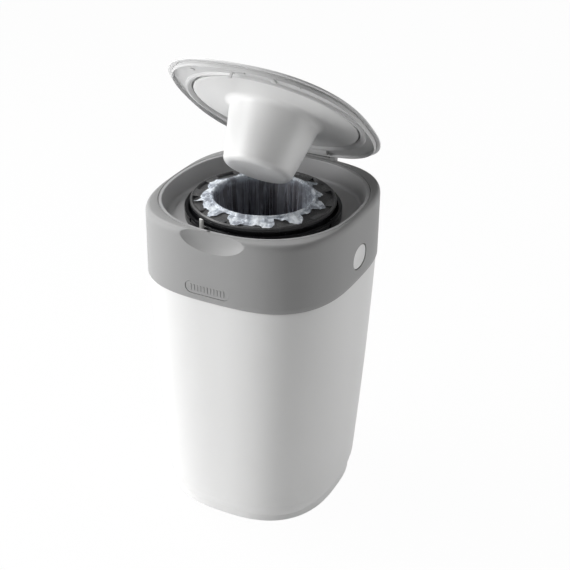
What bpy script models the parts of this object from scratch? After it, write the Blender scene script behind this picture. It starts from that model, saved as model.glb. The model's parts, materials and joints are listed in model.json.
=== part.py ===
"""Nappy bin with a twist-turned film cassette, as separate pieces.

Metres, +Z up. The origin is on the floor under the middle of the bin, the scoop and
the front are at -Y, the lid's hinge is at +Y. The lid is shown open.
"""
import math

import bmesh
import bpy
from mathutils import Matrix, Vector

# Clearances and counts
CLEAR = 0.0003
RUN_CLEAR = 0.0008
OVERRUN = 0.002
BIG_SIDES = 40
ROUND_SIDES = 32
SMALL_SIDES = 12
TINY_SIDES = 10
ARC_STEPS = 4

# Outlines are half width, half depth and power of a rounded rectangle
FOOT_DRAW_IN_X = 0.0164
FOOT_DRAW_IN_Y = 0.0145
FOOT_POWER = 2.98
TAPER_X = 0.0156
TAPER_Y = 0.0172
BAND_POWER = 2.6
RIM_WIDTH_X = 0.0093
RIM_WIDTH_Y = 0.0128
COLLAR_POWER = 3.0
MOAT_X = 0.0212
MOAT_Y = 0.0252
MOUTH_POWER = 2.33
LID_INSET_X = 0.0035
LID_OVERHANG_Y = 0.0014
LID_POWER = 2.55
LID_SHIFT = -0.005
TUB_STEP = 0.001
COLLAR_STEP = 0.0013

# Tub and base
PAD_PROUD = 0.0008
PAD_RADIUS = 0.009
PAD_THICK = 0.0017
PAD_INSET_X = 0.0365
PAD_INSET_Y = 0.0373
BAND_TOP = 0.0316
BASE_WALL = 0.0022
BASE_FLOOR = 0.003
SPIGOT_DEPTH = 0.005
TUB_FLOOR = 0.0025
TUB_WALL = 0.0024
TUB_BULGE = 0.0015
COLLAR_HEIGHT = 0.0843
SEAM_GAP = 0.0005
NECK_WALL = 0.0021
NECK_HEIGHT = 0.0122
NECK_CLEAR = 0.001
POST_RADIUS = 0.005
BASE_SCREW_OFF_PAD_X = 0.02
BASE_SCREW_OFF_PAD_Y = 0.022
BASE_SCREW_LENGTH = 0.0145
SCREW_RADIUS = 0.0013
SCREW_HOLE_CLEAR = 0.0004
SCREW_BORE_CLEAR = 0.0003
SCREW_HEAD_RADIUS = 0.0031
SCREW_HEAD_THICK = 0.0013
SCREW_HEAD_SINK = 0.0003

# Collar and tray
RIM_Z = 0.4
COLLAR_WALL = 0.0025
RIM_ROUND_WIDTH = 0.0046
RIM_ROUND_HEIGHT = 0.009
RIM_THICK = 0.0045
TRAY_SEAM = 0.0042
TRAY_LIP = 0.002
TRAY_WALL = 0.0022
TRAY_DEPTH = 0.025
TRAY_FLOOR = 0.0025
TRAY_DRAW_IN = 0.0032
TRAY_FILLET = 0.004
MOUTH_ROUND = 0.0013
SHELF_WIDTH = 0.0018
SCOOP_HALF_WIDTH = 0.05
SCOOP_REACH = 0.0155
SCOOP_HEIGHT = 0.0215
SCOOP_OUT = 0.0075
SCOOP_DROP = 0.003
SCOOP_WALL = 0.0022
CATCH_X = -0.008
CATCH_SLOT_HALF_WIDTH = 0.002
CATCH_SLOT_INSET = 0.001
CATCH_SLOT_DEPTH = 0.003
CATCH_SLOT_HEIGHT = 0.009

# Cassette, turntable and throat, which share one upright axis
AXIS_Y = -0.004
LEDGE_HOLE_CLEAR = 0.0018
TABLE_FLANGE_WIDTH = 0.0045
TABLE_FLANGE_HEIGHT = 0.0127
TABLE_CHAMFER = 0.0013
TABLE_WALL = 0.0013
CASSETTE_WIDTH = 0.0264
TABLE_DEPTH = 0.0335
TABLE_FLOOR = 0.0022
TABLE_HOLE_STEP = 0.004
WELL_WALL = 0.0022
WELL_FLANGE_WIDTH = 0.015
WELL_FLANGE_DROP = 0.0105
WELL_FLANGE_THICK = 0.002
THROAT_STEP = 0.006
THROAT_WALL = 0.0025
THROAT_TAIL = 0.0432
UNIT_SCREW_INSET = 0.0045
UNIT_SCREW_LENGTH = 0.0095
UNIT_POST_RADIUS = 0.004
CASSETTE_INNER_RADIUS = 0.06
CASSETTE_WALL = 0.0016
CASSETTE_RIM_DROP = 0.0085
CASSETTE_LIP_DROP = 0.0015
CASSETTE_LIP_ROUND = 0.001
TOP_RING_BEAD = 0.0045
TOP_RING_BEAD_WIDTH = 0.0032
TOP_RING_THICK = 0.0016
TOP_RING_SLIT = 0.0014
TOP_RING_RISE = 0.0041
PACK_CLEAR = 0.0016
PACK_TOP_DROP = 0.0035
FILM_THICK = 0.0006
FILM_INSET = 0.0008
FILM_APRON_WIDTH = 0.0102
FILM_LIP_RISE = 0.0009
FILM_TAIL_RADIUS = 0.0116
FILM_TAIL_LENGTH = 0.0176
FUNNEL_TOP_RISE = 0.0155
FUNNEL_MID_RISE = 0.009
FUNNEL_LOW_RISE = 0.004
FUNNEL_MID_INSET = 0.004
FUNNEL_LOW_INSET = 0.03
KNOT_RADIUS = 0.0125
KNOT_HEIGHT = 0.013

# Gripping jaws in the throat
JAW_DROP = 0.0618
JAW_HINGE_INSET = 0.0065
JAW_THICK = 0.002
JAW_TIP_RADIUS = 0.015
JAW_OUTER_INSET = 0.004
JAW_HALF_ANGLE = 56.0
JAW_ARC_STEPS = 8
JAW_BARREL_RADIUS = 0.0022
JAW_BARREL_HALF = 0.0125
JAW_PIN_RADIUS = 0.0009
JAW_EAR_THICK = 0.003
JAW_EAR_HALF_HEIGHT = 0.0028
JAW_EAR_IN = 0.0023
JAW_EAR_OUT = 0.006
JAW_ANGLES = (90.0, 210.0, 330.0)
SPRING_THICK = 0.0005
SPRING_HALF_WIDTH = 0.003
SPRING_REACH = 0.02
SPRING_LEG = 0.013

# Film cutter under the unit
CUTTER_ANGLE = 225.0
CUTTER_HALF_WIDTH = 0.005
CUTTER_DEPTH = 0.012
CUTTER_HEIGHT = 0.016
CUTTER_SLOT_HALF = 0.0015
CUTTER_SLOT_HEIGHT = 0.011
BLADE_THICK = 0.0005
BLADE_HEIGHT = 0.006

# Release buttons and their latch tongues
BUTTON_RISE = 0.029
BUTTON_HALF_WIDTH = 0.0175
BUTTON_HALF_HEIGHT = 0.0138
BUTTON_GAP = 0.001
BUTTON_POWER = 2.3
BUTTON_SUNK = 0.0006
BUTTON_ROUND = 0.0006
BUTTON_FLANGE = 0.002
BUTTON_FLANGE_THICK = 0.002
BUTTON_STEM_HALF_WIDTH = 0.006
BUTTON_STEM_HALF_HEIGHT = 0.005
BUTTON_STEM = 0.0018
TONGUE_THICK = 0.0018
TONGUE_HALF_WIDTH = 0.007
TONGUE_FOOT = 0.0173
TONGUE_FOOT_THICK = 0.002
HOOK_LENGTH = 0.0027
HOOK_TOP_DROP = 0.003
HOOK_HEIGHT = 0.002
HOOK_LEAD = 0.0035
WINDOW_SIDE_CLEAR = 0.0015
WINDOW_TOP = 0.0015
WINDOW_HEIGHT = 0.0055

# Click pawl beside the turntable
PAWL_ANGLE = 250.5
PAWL_OFF_FLANGE = 0.003
PAWL_HALF_WIDTH = 0.0024
PAWL_HALF_DEPTH = 0.0015
PAWL_TOP_DROP = 0.0015
PAWL_DROP = 0.0085
PAWL_HOLE_CLEAR = 0.0016
PAWL_PIN_RADIUS = 0.0008
PAWL_PIN_DROP = 0.004
PAWL_EAR_THICK = 0.002
PAWL_EAR_HALF_DEPTH = 0.002
PAWL_EAR_DEPTH = 0.006

# Hinge
HINGE_INSET = 0.003
HINGE_RISE = 0.0068
LID_OPEN = 40.5
HINGE_PIN_RADIUS = 0.0015
BARREL_RADIUS = 0.004
BARREL_HALF = 0.0262
LUG_THICK = 0.0062
LUG_HALF_DEPTH = 0.0042
LUG_SINK = 0.0045
WASHER_THICK = 0.0008
WASHER_RADIUS = 0.0034
LUG_LID_CLEAR = 0.0018

# Lid, with sizes for its closed place
LID_GAP = 0.0054
LID_EDGE_THICK = 0.0024
LID_EDGE_ROUND = 0.0008
LID_RISE = 0.005
LID_WALL = 0.002
LID_BAND = 0.0045
LID_HOLE_INSET = 0.004
LID_RINGS = 5
LINER_DROP = 0.0014
LINER_HEIGHT = 0.0018
LINER_BEAD = 0.0006
PLATE_GAP = 0.002
SEAL_INSET = 0.0046
SEAL_WIDTH = 0.003
SEAL_HEIGHT = 0.0032
CATCH_HALF_WIDTH = 0.0013
CATCH_THICK = 0.0016
CATCH_LENGTH = 0.0085
CATCH_FOOT_HALF = 0.004
CATCH_FOOT_THICK = 0.0015
BEARING_FLANGE = 0.003
BEARING_FLANGE_THICK = 0.0018

# Plunger and dial, which turn in the lid
PLATE_OVERLAP = 0.0065
PLATE_DROP = 0.0024
PLATE_THICK = 0.0019
PLATE_ROUND = 0.0006
PLUNGER_WALL = 0.0022
PLUNGER_GAP = 0.007
PLUNGER_TAPER = 0.011
PLUNGER_TIP_ROUND = 0.005
PLUNGER_LENGTH = 0.0754
FLARE_RADIUS = 0.0095
FLARE_DROP = 0.0008
SHELF_DROP = 0.0082
SHELF_THICK = 0.0032
SHELF_WIDTH_IN_CUP = 0.0178
DIAL_OVERLAP = 0.007
DIAL_FLANGE_THICK = 0.0019
BEARING_WIDTH = 0.0025
DIAL_WALL = 0.0035
DIAL_FLOOR = 0.0022
DIAL_ROUND = 0.001
DIAL_BAR_HALF = 0.006
DIAL_SCREW_OFF_SHELF = 0.0045
DIAL_SCREW_LENGTH = 0.0045
DIAL_SCREW_ANGLES = (90.0, 210.0, 330.0)

# Colours, roughness and metallic value of each material
FINISHES = {
    "white_plastic": ((0.86, 0.86, 0.85), 0.35, 0.0),
    "grey_plastic": ((0.40, 0.40, 0.40), 0.45, 0.0),
    "tray_plastic": ((0.42, 0.42, 0.43), 0.4, 0.0),
    "lid_plastic": ((0.74, 0.74, 0.74), 0.35, 0.0),
    "black_plastic": ((0.02, 0.02, 0.022), 0.2, 0.0),
    "peg_plastic": ((0.62, 0.62, 0.60), 0.45, 0.0),
    "film": ((0.62, 0.68, 0.76), 0.3, 0.0),
    "rubber": ((0.10, 0.10, 0.10), 0.8, 0.0),
    "seal_rubber": ((0.36, 0.36, 0.36), 0.7, 0.0),
    "steel": ((0.62, 0.62, 0.63), 0.3, 1.0),
}

# Round sizes, which follow the refill cassette from its mouth outwards
TABLE_POCKET_RADIUS = CASSETTE_INNER_RADIUS + CASSETTE_WIDTH + RUN_CLEAR
TABLE_BODY_RADIUS = TABLE_POCKET_RADIUS + TABLE_WALL
TABLE_FLANGE_RADIUS = TABLE_BODY_RADIUS + TABLE_FLANGE_WIDTH
LEDGE_HOLE_RADIUS = TABLE_BODY_RADIUS + LEDGE_HOLE_CLEAR
TABLE_HOLE_RADIUS = CASSETTE_INNER_RADIUS + TABLE_HOLE_STEP
THROAT_RADIUS = CASSETTE_INNER_RADIUS + THROAT_STEP
WELL_FLANGE_RADIUS = TABLE_BODY_RADIUS + WELL_FLANGE_WIDTH
UNIT_SCREW_RADIUS = WELL_FLANGE_RADIUS - UNIT_SCREW_INSET
PAWL_RADIUS = TABLE_FLANGE_RADIUS + PAWL_OFF_FLANGE
FILM_APRON = CASSETTE_INNER_RADIUS + FILM_APRON_WIDTH
FUNNEL_MID_RADIUS = CASSETTE_INNER_RADIUS - FUNNEL_MID_INSET
FUNNEL_LOW_RADIUS = CASSETTE_INNER_RADIUS - FUNNEL_LOW_INSET
JAW_HINGE_RADIUS = THROAT_RADIUS - JAW_HINGE_INSET
JAW_OUTER_RADIUS = JAW_HINGE_RADIUS - JAW_OUTER_INSET
PLUNGER_TOP_RADIUS = CASSETTE_INNER_RADIUS - PLUNGER_GAP
PLUNGER_TIP_RADIUS = PLUNGER_TOP_RADIUS - PLUNGER_TAPER
PLATE_RADIUS = TABLE_FLANGE_RADIUS + PLATE_OVERLAP
SHELF_RADIUS = PLUNGER_TOP_RADIUS - PLUNGER_WALL - SHELF_WIDTH_IN_CUP
LID_HOLE_RADIUS = PLUNGER_TOP_RADIUS - LID_HOLE_INSET
DIAL_FLANGE_RADIUS = LID_HOLE_RADIUS + DIAL_OVERLAP
DIAL_BODY_RADIUS = LID_HOLE_RADIUS - BEARING_WIDTH
DIAL_SCREW_RADIUS = SHELF_RADIUS + DIAL_SCREW_OFF_SHELF

# Outlines, which follow the round sizes outwards to the collar and then down to the foot
MOUTH_HALF_WIDTH = TABLE_FLANGE_RADIUS + MOAT_X
MOUTH_HALF_DEPTH = TABLE_FLANGE_RADIUS + MOAT_Y
COLLAR_HALF_WIDTH = MOUTH_HALF_WIDTH + RIM_WIDTH_X
COLLAR_HALF_DEPTH = MOUTH_HALF_DEPTH + RIM_WIDTH_Y
LID_HALF_WIDTH = COLLAR_HALF_WIDTH - LID_INSET_X
LID_HALF_DEPTH = COLLAR_HALF_DEPTH + LID_OVERHANG_Y
BAND_HALF_WIDTH = COLLAR_HALF_WIDTH - TAPER_X
BAND_HALF_DEPTH = COLLAR_HALF_DEPTH - TAPER_Y
FOOT_HALF_WIDTH = BAND_HALF_WIDTH - FOOT_DRAW_IN_X
FOOT_HALF_DEPTH = BAND_HALF_DEPTH - FOOT_DRAW_IN_Y
PAD_X = FOOT_HALF_WIDTH - PAD_INSET_X
PAD_Y = FOOT_HALF_DEPTH - PAD_INSET_Y
BASE_SCREW_X = PAD_X - BASE_SCREW_OFF_PAD_X
BASE_SCREW_Y = PAD_Y - BASE_SCREW_OFF_PAD_Y
HINGE_Y = COLLAR_HALF_DEPTH - HINGE_INSET

# Heights, which follow the rim
COLLAR_BOTTOM = RIM_Z - COLLAR_HEIGHT
TRAY_LEDGE_Z = RIM_Z - TRAY_DEPTH
CASSETTE_RIM_Z = RIM_Z - CASSETTE_RIM_DROP
CASSETTE_LIP_Z = RIM_Z - CASSETTE_LIP_DROP
PAWL_TOP = RIM_Z - PAWL_TOP_DROP
JAW_Z = TRAY_LEDGE_Z - JAW_DROP
THROAT_BOTTOM = JAW_Z - THROAT_TAIL
BUTTON_Z = COLLAR_BOTTOM + BUTTON_RISE
HINGE_Z = RIM_Z + HINGE_RISE
LID_BOTTOM = RIM_Z + LID_GAP
SHELF_Z = LID_BOTTOM - SHELF_DROP

FOOT = (FOOT_HALF_WIDTH, FOOT_HALF_DEPTH, FOOT_POWER, 0)
BAND = (BAND_HALF_WIDTH, BAND_HALF_DEPTH, BAND_POWER, 0)
COLLAR = (COLLAR_HALF_WIDTH, COLLAR_HALF_DEPTH, COLLAR_POWER, 0)
MOUTH = (MOUTH_HALF_WIDTH, MOUTH_HALF_DEPTH, MOUTH_POWER, 0)
LID = (LID_HALF_WIDTH, LID_HALF_DEPTH, LID_POWER, LID_SHIFT)
HINGE = Vector((0, HINGE_Y, HINGE_Z))
AXIS = Vector((0, AXIS_Y, 0))


def grown(outline, amount):
    """The outline moved outwards by an amount, or inwards where it is negative."""
    half_x, half_y, power, centre_y = outline
    return half_x + amount, half_y + amount, power, centre_y


def between(first, second, share):
    """The outline that lies this share of the way from the first to the second."""
    return tuple(a + (b - a) * share for a, b in zip(first, second))


def circle(radius):
    """A circle about the cassette's axis, as an outline."""
    return radius, radius, 2, AXIS_Y


def outline_ring(outline, height, sides=BIG_SIDES):
    """Points round an outline at a height, evenly spread by angle."""
    half_x, half_y, power, centre_y = outline
    points = []
    for step in range(sides):
        angle = 2 * math.pi * (step + 0.5) / sides
        cosine, sine = math.cos(angle), math.sin(angle)
        reach = (abs(cosine / half_x) ** power + abs(sine / half_y) ** power) ** (-1 / power)
        points.append(Vector((reach * cosine, centre_y + reach * sine, height)))
    return points


def add_rings(mesh, rings, closed=False, place=None):
    """Skin over rings of points: a loop of rings if closed, otherwise capped at both ends."""
    place = place or Matrix()
    made = [[mesh.verts.new(place @ point) for point in ring] for ring in rings]
    faces = []
    count = len(made[0])
    pairs = list(zip(made, made[1:])) + ([(made[-1], made[0])] if closed else [])
    for low, high in pairs:
        for index in range(count):
            after = (index + 1) % count
            faces.append(mesh.faces.new((low[index], low[after], high[after], high[index])))
    if not closed:
        faces.append(mesh.faces.new(made[0]))
        faces.append(mesh.faces.new(made[-1]))
    bmesh.ops.recalc_face_normals(mesh, faces=faces)


def add_profile(mesh, profile, closed=False, sides=BIG_SIDES):
    """Rings from a list of outline and height pairs."""
    if all(outline[2] == 2 for outline, _ in profile):
        sides = min(sides, ROUND_SIDES)
    add_rings(mesh, [outline_ring(outline, height, sides) for outline, height in profile], closed)


def add_block(mesh, low, high, place=None):
    """A box between two corners."""
    corners = [(low[0], low[1]), (high[0], low[1]), (high[0], high[1]), (low[0], high[1])]
    rings = [[Vector((x, y, z)) for x, y in corners] for z in (low[2], high[2])]
    add_rings(mesh, rings, place=place)


def add_rod(mesh, start, end, radius, sides=SMALL_SIDES, place=None, end_radius=None):
    """A round bar from one point to another."""
    start, end = Vector(start), Vector(end)
    turn = (end - start).to_track_quat("Z", "Y").to_matrix()
    rings = []
    for centre, size in ((start, radius), (end, end_radius or radius)):
        angles = [2 * math.pi * step / sides for step in range(sides)]
        rings.append([centre + turn @ Vector((size * math.cos(a), size * math.sin(a), 0)) for a in angles])
    add_rings(mesh, rings, place=place)


def add_slab(mesh, points, axis, low, high, place=None):
    """A flat outline drawn in two axes and stretched along the third, 0 for X or 1 for Y or 2 for Z."""
    rings = []
    for level in (low, high):
        ring = []
        for first, second in points:
            values = [first, second]
            values.insert(axis, level)
            ring.append(Vector(values))
        rings.append(ring)
    add_rings(mesh, rings, place=place)


def material(name):
    found = bpy.data.materials.get(name)
    if found:
        return found
    colour, roughness, metallic = FINISHES[name]
    found = bpy.data.materials.new(name)
    found.use_nodes = True
    shader = found.node_tree.nodes["Principled BSDF"]
    shader.inputs["Base Color"].default_value = (*colour, 1)
    shader.inputs["Roughness"].default_value = roughness
    shader.inputs["Metallic"].default_value = metallic
    found.diffuse_color = (*colour, 1)
    return found


def axis_empty(name, point, parent=None):
    """An empty on a joint's axis. Its children keep their meshes in the bin's own coordinates."""
    empty = bpy.data.objects.new(name, None)
    bpy.context.scene.collection.objects.link(empty)
    empty["point"] = tuple(point)
    empty.location = Vector(point) - (Vector(parent["point"]) if parent else Vector())
    empty.parent = parent
    return empty


def make(name, mesh, finish=None, parent=None):
    """An object from a mesh in the bin's coordinates, hung on an axis if one is given."""
    data = bpy.data.meshes.new(name)
    mesh.to_mesh(data)
    mesh.free()
    solid = bpy.data.objects.new(name, data)
    bpy.context.scene.collection.objects.link(solid)
    if parent:
        solid.parent = parent
        solid.location = -Vector(parent["point"])
    if finish:
        data.materials.append(material(finish))
        data.shade_smooth()
        data.set_sharp_from_angle(angle=math.radians(35))
    else:
        solid.hide_render = True
        solid.display_type = "WIRE"
    return solid


def boolean(solid, mesh, operation):
    """Cuts, joins or keeps the solid with a hidden tool made from the mesh."""
    tool = make(f"{solid.name}_{operation.lower()}_{len(solid.modifiers)}", mesh)
    tool.parent = solid.parent
    tool.location = solid.location.copy()
    step = solid.modifiers.new(tool.name, "BOOLEAN")
    step.operation = operation
    step.object = tool


def new():
    return bmesh.new()


def turned(degrees):
    """A quarter in which +X points away from the cassette's axis at this angle."""
    return Matrix.Translation(AXIS) @ Matrix.Rotation(math.radians(degrees), 4, "Z")


def add_screw(mesh, point, length, up=1, place=None):
    """A screw whose head's flat side is at the point, with its shaft running up or down."""
    point = Vector(point)
    along = Vector((0, 0, up))
    head_end = point - along * SCREW_HEAD_THICK
    outline = [
        (head_end, SCREW_HEAD_RADIUS),
        (point, SCREW_HEAD_RADIUS),
        (point, SCREW_RADIUS),
        (point + along * length, SCREW_RADIUS),
    ]
    rings = []
    for centre, radius in outline:
        angles = [2 * math.pi * step / TINY_SIDES for step in range(TINY_SIDES)]
        rings.append([centre + Vector((radius * math.cos(a), radius * math.sin(a), 0)) for a in angles])
    add_rings(mesh, rings, place=place)


def four_corners(half_x, half_y):
    return [(x, y) for x in (-half_x, half_x) for y in (-half_y, half_y)]




def band_outline(height):
    """Outline of the base band at a height: it draws in to the foot in a quarter wave."""
    share = (height - PAD_PROUD) / (BAND_TOP - PAD_PROUD)
    return between(FOOT, BAND, math.sin(math.pi / 2 * min(share, 1)))


BASE_TOP = PAD_PROUD + BASE_FLOOR
HEAD_SEAT = PAD_PROUD + SCREW_HEAD_SINK + SCREW_HEAD_THICK
TUB_EDGE = BAND_TOP + CLEAR
TUB_EDGE_OUTLINE = grown(BAND, TUB_STEP)
SPIGOT = grown(band_outline(TUB_EDGE - SPIGOT_DEPTH), -BASE_WALL - 2 * CLEAR)
SHOULDER = COLLAR_BOTTOM - SEAM_GAP
SHOULDER_OUTLINE = grown(COLLAR, -COLLAR_STEP)
NECK = grown(COLLAR, -COLLAR_WALL - NECK_CLEAR)
NECK_TOP = SHOULDER + NECK_HEIGHT


def base_cover():
    mesh = new()
    rounding = 6
    outside, inside = [], []
    for step in range(rounding + 1):
        height = PAD_PROUD + (BAND_TOP - PAD_PROUD) * step / rounding
        outside.append((band_outline(height), height))
        if height > BASE_TOP:
            inside.append((grown(band_outline(height), -BASE_WALL), height))
    inside.insert(0, (grown(band_outline(BASE_TOP), -BASE_WALL), BASE_TOP))
    add_profile(mesh, outside + inside[::-1])
    cover = make("base_cover", mesh, "white_plastic")
    cuts = new()
    for x, y in four_corners(PAD_X, PAD_Y):
        add_rod(cuts, (x, y, -OVERRUN), (x, y, PAD_THICK + CLEAR), PAD_RADIUS + CLEAR, SMALL_SIDES)
    for x, y in four_corners(BASE_SCREW_X, BASE_SCREW_Y):
        hole = SCREW_RADIUS + SCREW_HOLE_CLEAR
        add_rod(cuts, (x, y, -OVERRUN), (x, y, HEAD_SEAT + CLEAR), SCREW_HEAD_RADIUS + CLEAR, TINY_SIDES)
        add_rod(cuts, (x, y, HEAD_SEAT), (x, y, BASE_TOP + OVERRUN), hole, TINY_SIDES)
    joined = new()
    joined.from_mesh(union_of(cuts))
    boolean(cover, joined, "DIFFERENCE")


def union_of(mesh):
    """One clean mesh from overlapping closed shapes, for use as a tool."""
    first = bpy.data.meshes.new("tool_shapes")
    mesh.to_mesh(first)
    mesh.free()
    solid = bpy.data.objects.new("tool_shapes", first)
    bpy.context.scene.collection.objects.link(solid)
    step = solid.modifiers.new("union", "BOOLEAN")
    step.operation = "UNION"
    step.use_self = True
    empty = bpy.data.objects.new("tool_empty", bpy.data.meshes.new("tool_empty"))
    bpy.context.scene.collection.objects.link(empty)
    step.object = empty
    graph = bpy.context.evaluated_depsgraph_get()
    result = bpy.data.meshes.new_from_object(solid.evaluated_get(graph))
    bpy.data.objects.remove(solid)
    bpy.data.objects.remove(empty)
    return result


def foot_pads():
    for number, (x, y) in enumerate(four_corners(PAD_X, PAD_Y), 1):
        mesh = new()
        add_rod(mesh, (x, y, 0), (x, y, PAD_THICK), PAD_RADIUS, SMALL_SIDES)
        make(f"foot_pad_{number}", mesh, "rubber")


def base_screws():
    for number, (x, y) in enumerate(four_corners(BASE_SCREW_X, BASE_SCREW_Y), 1):
        mesh = new()
        add_screw(mesh, (x, y, HEAD_SEAT), BASE_SCREW_LENGTH)
        make(f"base_screw_{number}", mesh, "steel")


def tub_shell():
    """The bucket: a spigot inside the base band, the tapering wall and the neck."""
    steps = 5
    wall = []
    for step in range(steps + 1):
        share = step / steps
        outline = between(TUB_EDGE_OUTLINE, SHOULDER_OUTLINE, share)
        bulge = TUB_BULGE * math.sin(math.pi * share)
        wall.append((grown(outline, bulge), TUB_EDGE + (SHOULDER - TUB_EDGE) * share))
    floor_z = TUB_EDGE - SPIGOT_DEPTH
    outside = [(SPIGOT, floor_z), (SPIGOT, TUB_EDGE)] + wall + [(NECK, SHOULDER), (NECK, NECK_TOP)]
    neck_inside = grown(NECK, -NECK_WALL)
    inside = [(grown(outline, -TUB_WALL), height) for outline, height in wall[1:-1]]
    low_inside = grown(SPIGOT, -TUB_WALL)
    inner = [(neck_inside, NECK_TOP), (neck_inside, SHOULDER - NECK_WALL)] + inside[::-1]
    inner += [(low_inside, TUB_EDGE), (low_inside, floor_z + TUB_FLOOR)]
    mesh = new()
    add_profile(mesh, outside + inner)
    tub = make("tub_shell", mesh, "white_plastic")
    posts = new()
    for x, y in four_corners(BASE_SCREW_X, BASE_SCREW_Y):
        add_rod(posts, (x, y, BASE_TOP + CLEAR), (x, y, floor_z + TUB_FLOOR / 2), POST_RADIUS, SMALL_SIDES)
    boolean(tub, posts, "UNION")
    cuts = new()
    for x, y in four_corners(BASE_SCREW_X, BASE_SCREW_Y):
        top = HEAD_SEAT + BASE_SCREW_LENGTH + OVERRUN
        add_rod(cuts, (x, y, 0), (x, y, top), SCREW_RADIUS + SCREW_BORE_CLEAR, TINY_SIDES)
    for side in (-1, 1):
        ends = sorted((side * (NECK[0] - NECK_WALL - OVERRUN), side * (NECK[0] + OVERRUN)))
        half = TONGUE_HALF_WIDTH + WINDOW_SIDE_CLEAR
        top = NECK_TOP - WINDOW_TOP
        add_block(cuts, (ends[0], -half, top - WINDOW_HEIGHT), (ends[1], half, top))
    boolean(tub, cuts, "DIFFERENCE")


SEAM = grown(MOUTH, TRAY_SEAM)
SHELF = grown(SEAM, -SHELF_WIDTH)
COLLAR_INSIDE = grown(COLLAR, -COLLAR_WALL)


def collar_shell():
    mesh = new()
    profile = [(COLLAR, COLLAR_BOTTOM), (COLLAR, RIM_Z - RIM_ROUND_HEIGHT)]
    for step in range(1, ARC_STEPS + 1):
        angle = math.pi / 2 * step / ARC_STEPS
        inset = RIM_ROUND_WIDTH * (1 - math.cos(angle))
        profile.append((grown(COLLAR, -inset), RIM_Z - RIM_ROUND_HEIGHT * (1 - math.sin(angle))))
    shelf_z = RIM_Z - TRAY_LIP - 2 * CLEAR
    seam_outline = grown(SEAM, CLEAR / 2)
    profile += [
        (seam_outline, RIM_Z),
        (seam_outline, shelf_z),
        (SHELF, shelf_z),
        (SHELF, RIM_Z - RIM_THICK),
        (COLLAR_INSIDE, RIM_Z - RIM_ROUND_HEIGHT - COLLAR_WALL),
        (COLLAR_INSIDE, COLLAR_BOTTOM),
    ]
    add_profile(mesh, profile, closed=True)
    collar = make("collar_shell", mesh, "grey_plastic")
    boolean(collar, scoop_bowl(SCOOP_WALL, inside=True), "UNION")
    boolean(collar, scoop_bowl(0), "DIFFERENCE")
    lugs = new()
    for side in (-1, 1):
        start = side * (BARREL_HALF + WASHER_THICK + 2 * CLEAR)
        add_slab(lugs, lug_outline(), 0, *sorted((start, start + side * LUG_THICK)))
    boolean(collar, lugs, "UNION")
    cuts = new()
    end = BARREL_HALF + WASHER_THICK + LUG_THICK + OVERRUN
    centre = (HINGE_Y, HINGE_Z)
    add_rod(cuts, (-end, *centre), (end, *centre), HINGE_PIN_RADIUS + CLEAR, TINY_SIDES)
    boolean(collar, cuts, "DIFFERENCE")
    windows = new()
    half_width, half_height = BUTTON_HALF_WIDTH + BUTTON_GAP, BUTTON_HALF_HEIGHT + BUTTON_GAP
    for side in (-1, 1):
        rings = [button_ring(side * x, half_width, half_height) for x in
                 (COLLAR_HALF_WIDTH - COLLAR_WALL - OVERRUN, COLLAR_HALF_WIDTH + OVERRUN)]
        add_rings(windows, rings)
    boolean(collar, windows, "DIFFERENCE")
    slot = new()
    add_catch_slot(slot)
    boolean(collar, slot, "DIFFERENCE")


def add_catch_slot(mesh):
    """The slot for the lid's catch, through the tray's lip and the collar's shelf below it."""
    front = -MOUTH_HALF_DEPTH - CATCH_SLOT_INSET
    low = (CATCH_X - CATCH_SLOT_HALF_WIDTH, front - CATCH_SLOT_DEPTH, RIM_Z - CATCH_SLOT_HEIGHT)
    high = (CATCH_X + CATCH_SLOT_HALF_WIDTH, front, RIM_Z + OVERRUN)
    add_block(mesh, low, high)


def lug_outline():
    """The side of a hinge lug: a round head on a straight neck, as Y and Z."""
    points = [(HINGE_Y - LUG_HALF_DEPTH, RIM_Z - LUG_SINK)]
    for step in range(ARC_STEPS * 2 + 1):
        angle = math.pi * (1 - step / (ARC_STEPS * 2))
        points.append((HINGE_Y + LUG_HALF_DEPTH * math.cos(angle),
                       HINGE_Z + LUG_HALF_DEPTH * math.sin(angle)))
    points.append((HINGE_Y + LUG_HALF_DEPTH, RIM_Z - LUG_SINK))
    return points


def scoop_bowl(extra, inside=False):
    """The lifting scoop as a ball shape, or the wall behind it kept within the collar."""
    mesh = new()
    centre = Vector((0, -COLLAR_HALF_DEPTH - SCOOP_OUT, RIM_Z - SCOOP_DROP))
    radii = (SCOOP_HALF_WIDTH + extra, SCOOP_REACH + extra, SCOOP_HEIGHT + extra)
    place = Matrix.Translation(centre) @ Matrix.Diagonal((*radii, 1)) @ Matrix.Rotation(math.pi / 2, 4, "Y")
    bmesh.ops.create_uvsphere(mesh, u_segments=20, v_segments=16, radius=1, matrix=place)
    if not inside:
        return mesh
    kept = new()
    low = RIM_Z - RIM_ROUND_HEIGHT - 2 * SCOOP_HEIGHT
    limit = grown(COLLAR, -COLLAR_WALL / 2)
    top = grown(COLLAR, -RIM_ROUND_WIDTH)
    mid_z = RIM_Z - RIM_ROUND_HEIGHT
    add_profile(kept, [(limit, low), (limit, mid_z), (top, RIM_Z - CLEAR)])
    hollow = [(grown(SEAM, CLEAR), low - OVERRUN), (grown(SEAM, CLEAR), RIM_Z + OVERRUN)]
    body = make("scoop_wall", mesh)
    boolean(body, kept, "INTERSECT")
    hole = new()
    add_profile(hole, hollow)
    boolean(body, hole, "DIFFERENCE")
    return bmesh_of(body)


def bmesh_of(solid):
    """The finished shape of a scratch solid, which is then removed with its tools."""
    graph = bpy.context.evaluated_depsgraph_get()
    mesh = new()
    mesh.from_object(solid, graph)
    tools = [step.object for step in solid.modifiers]
    for item in tools + [solid]:
        bpy.data.objects.remove(item)
    return mesh


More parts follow.
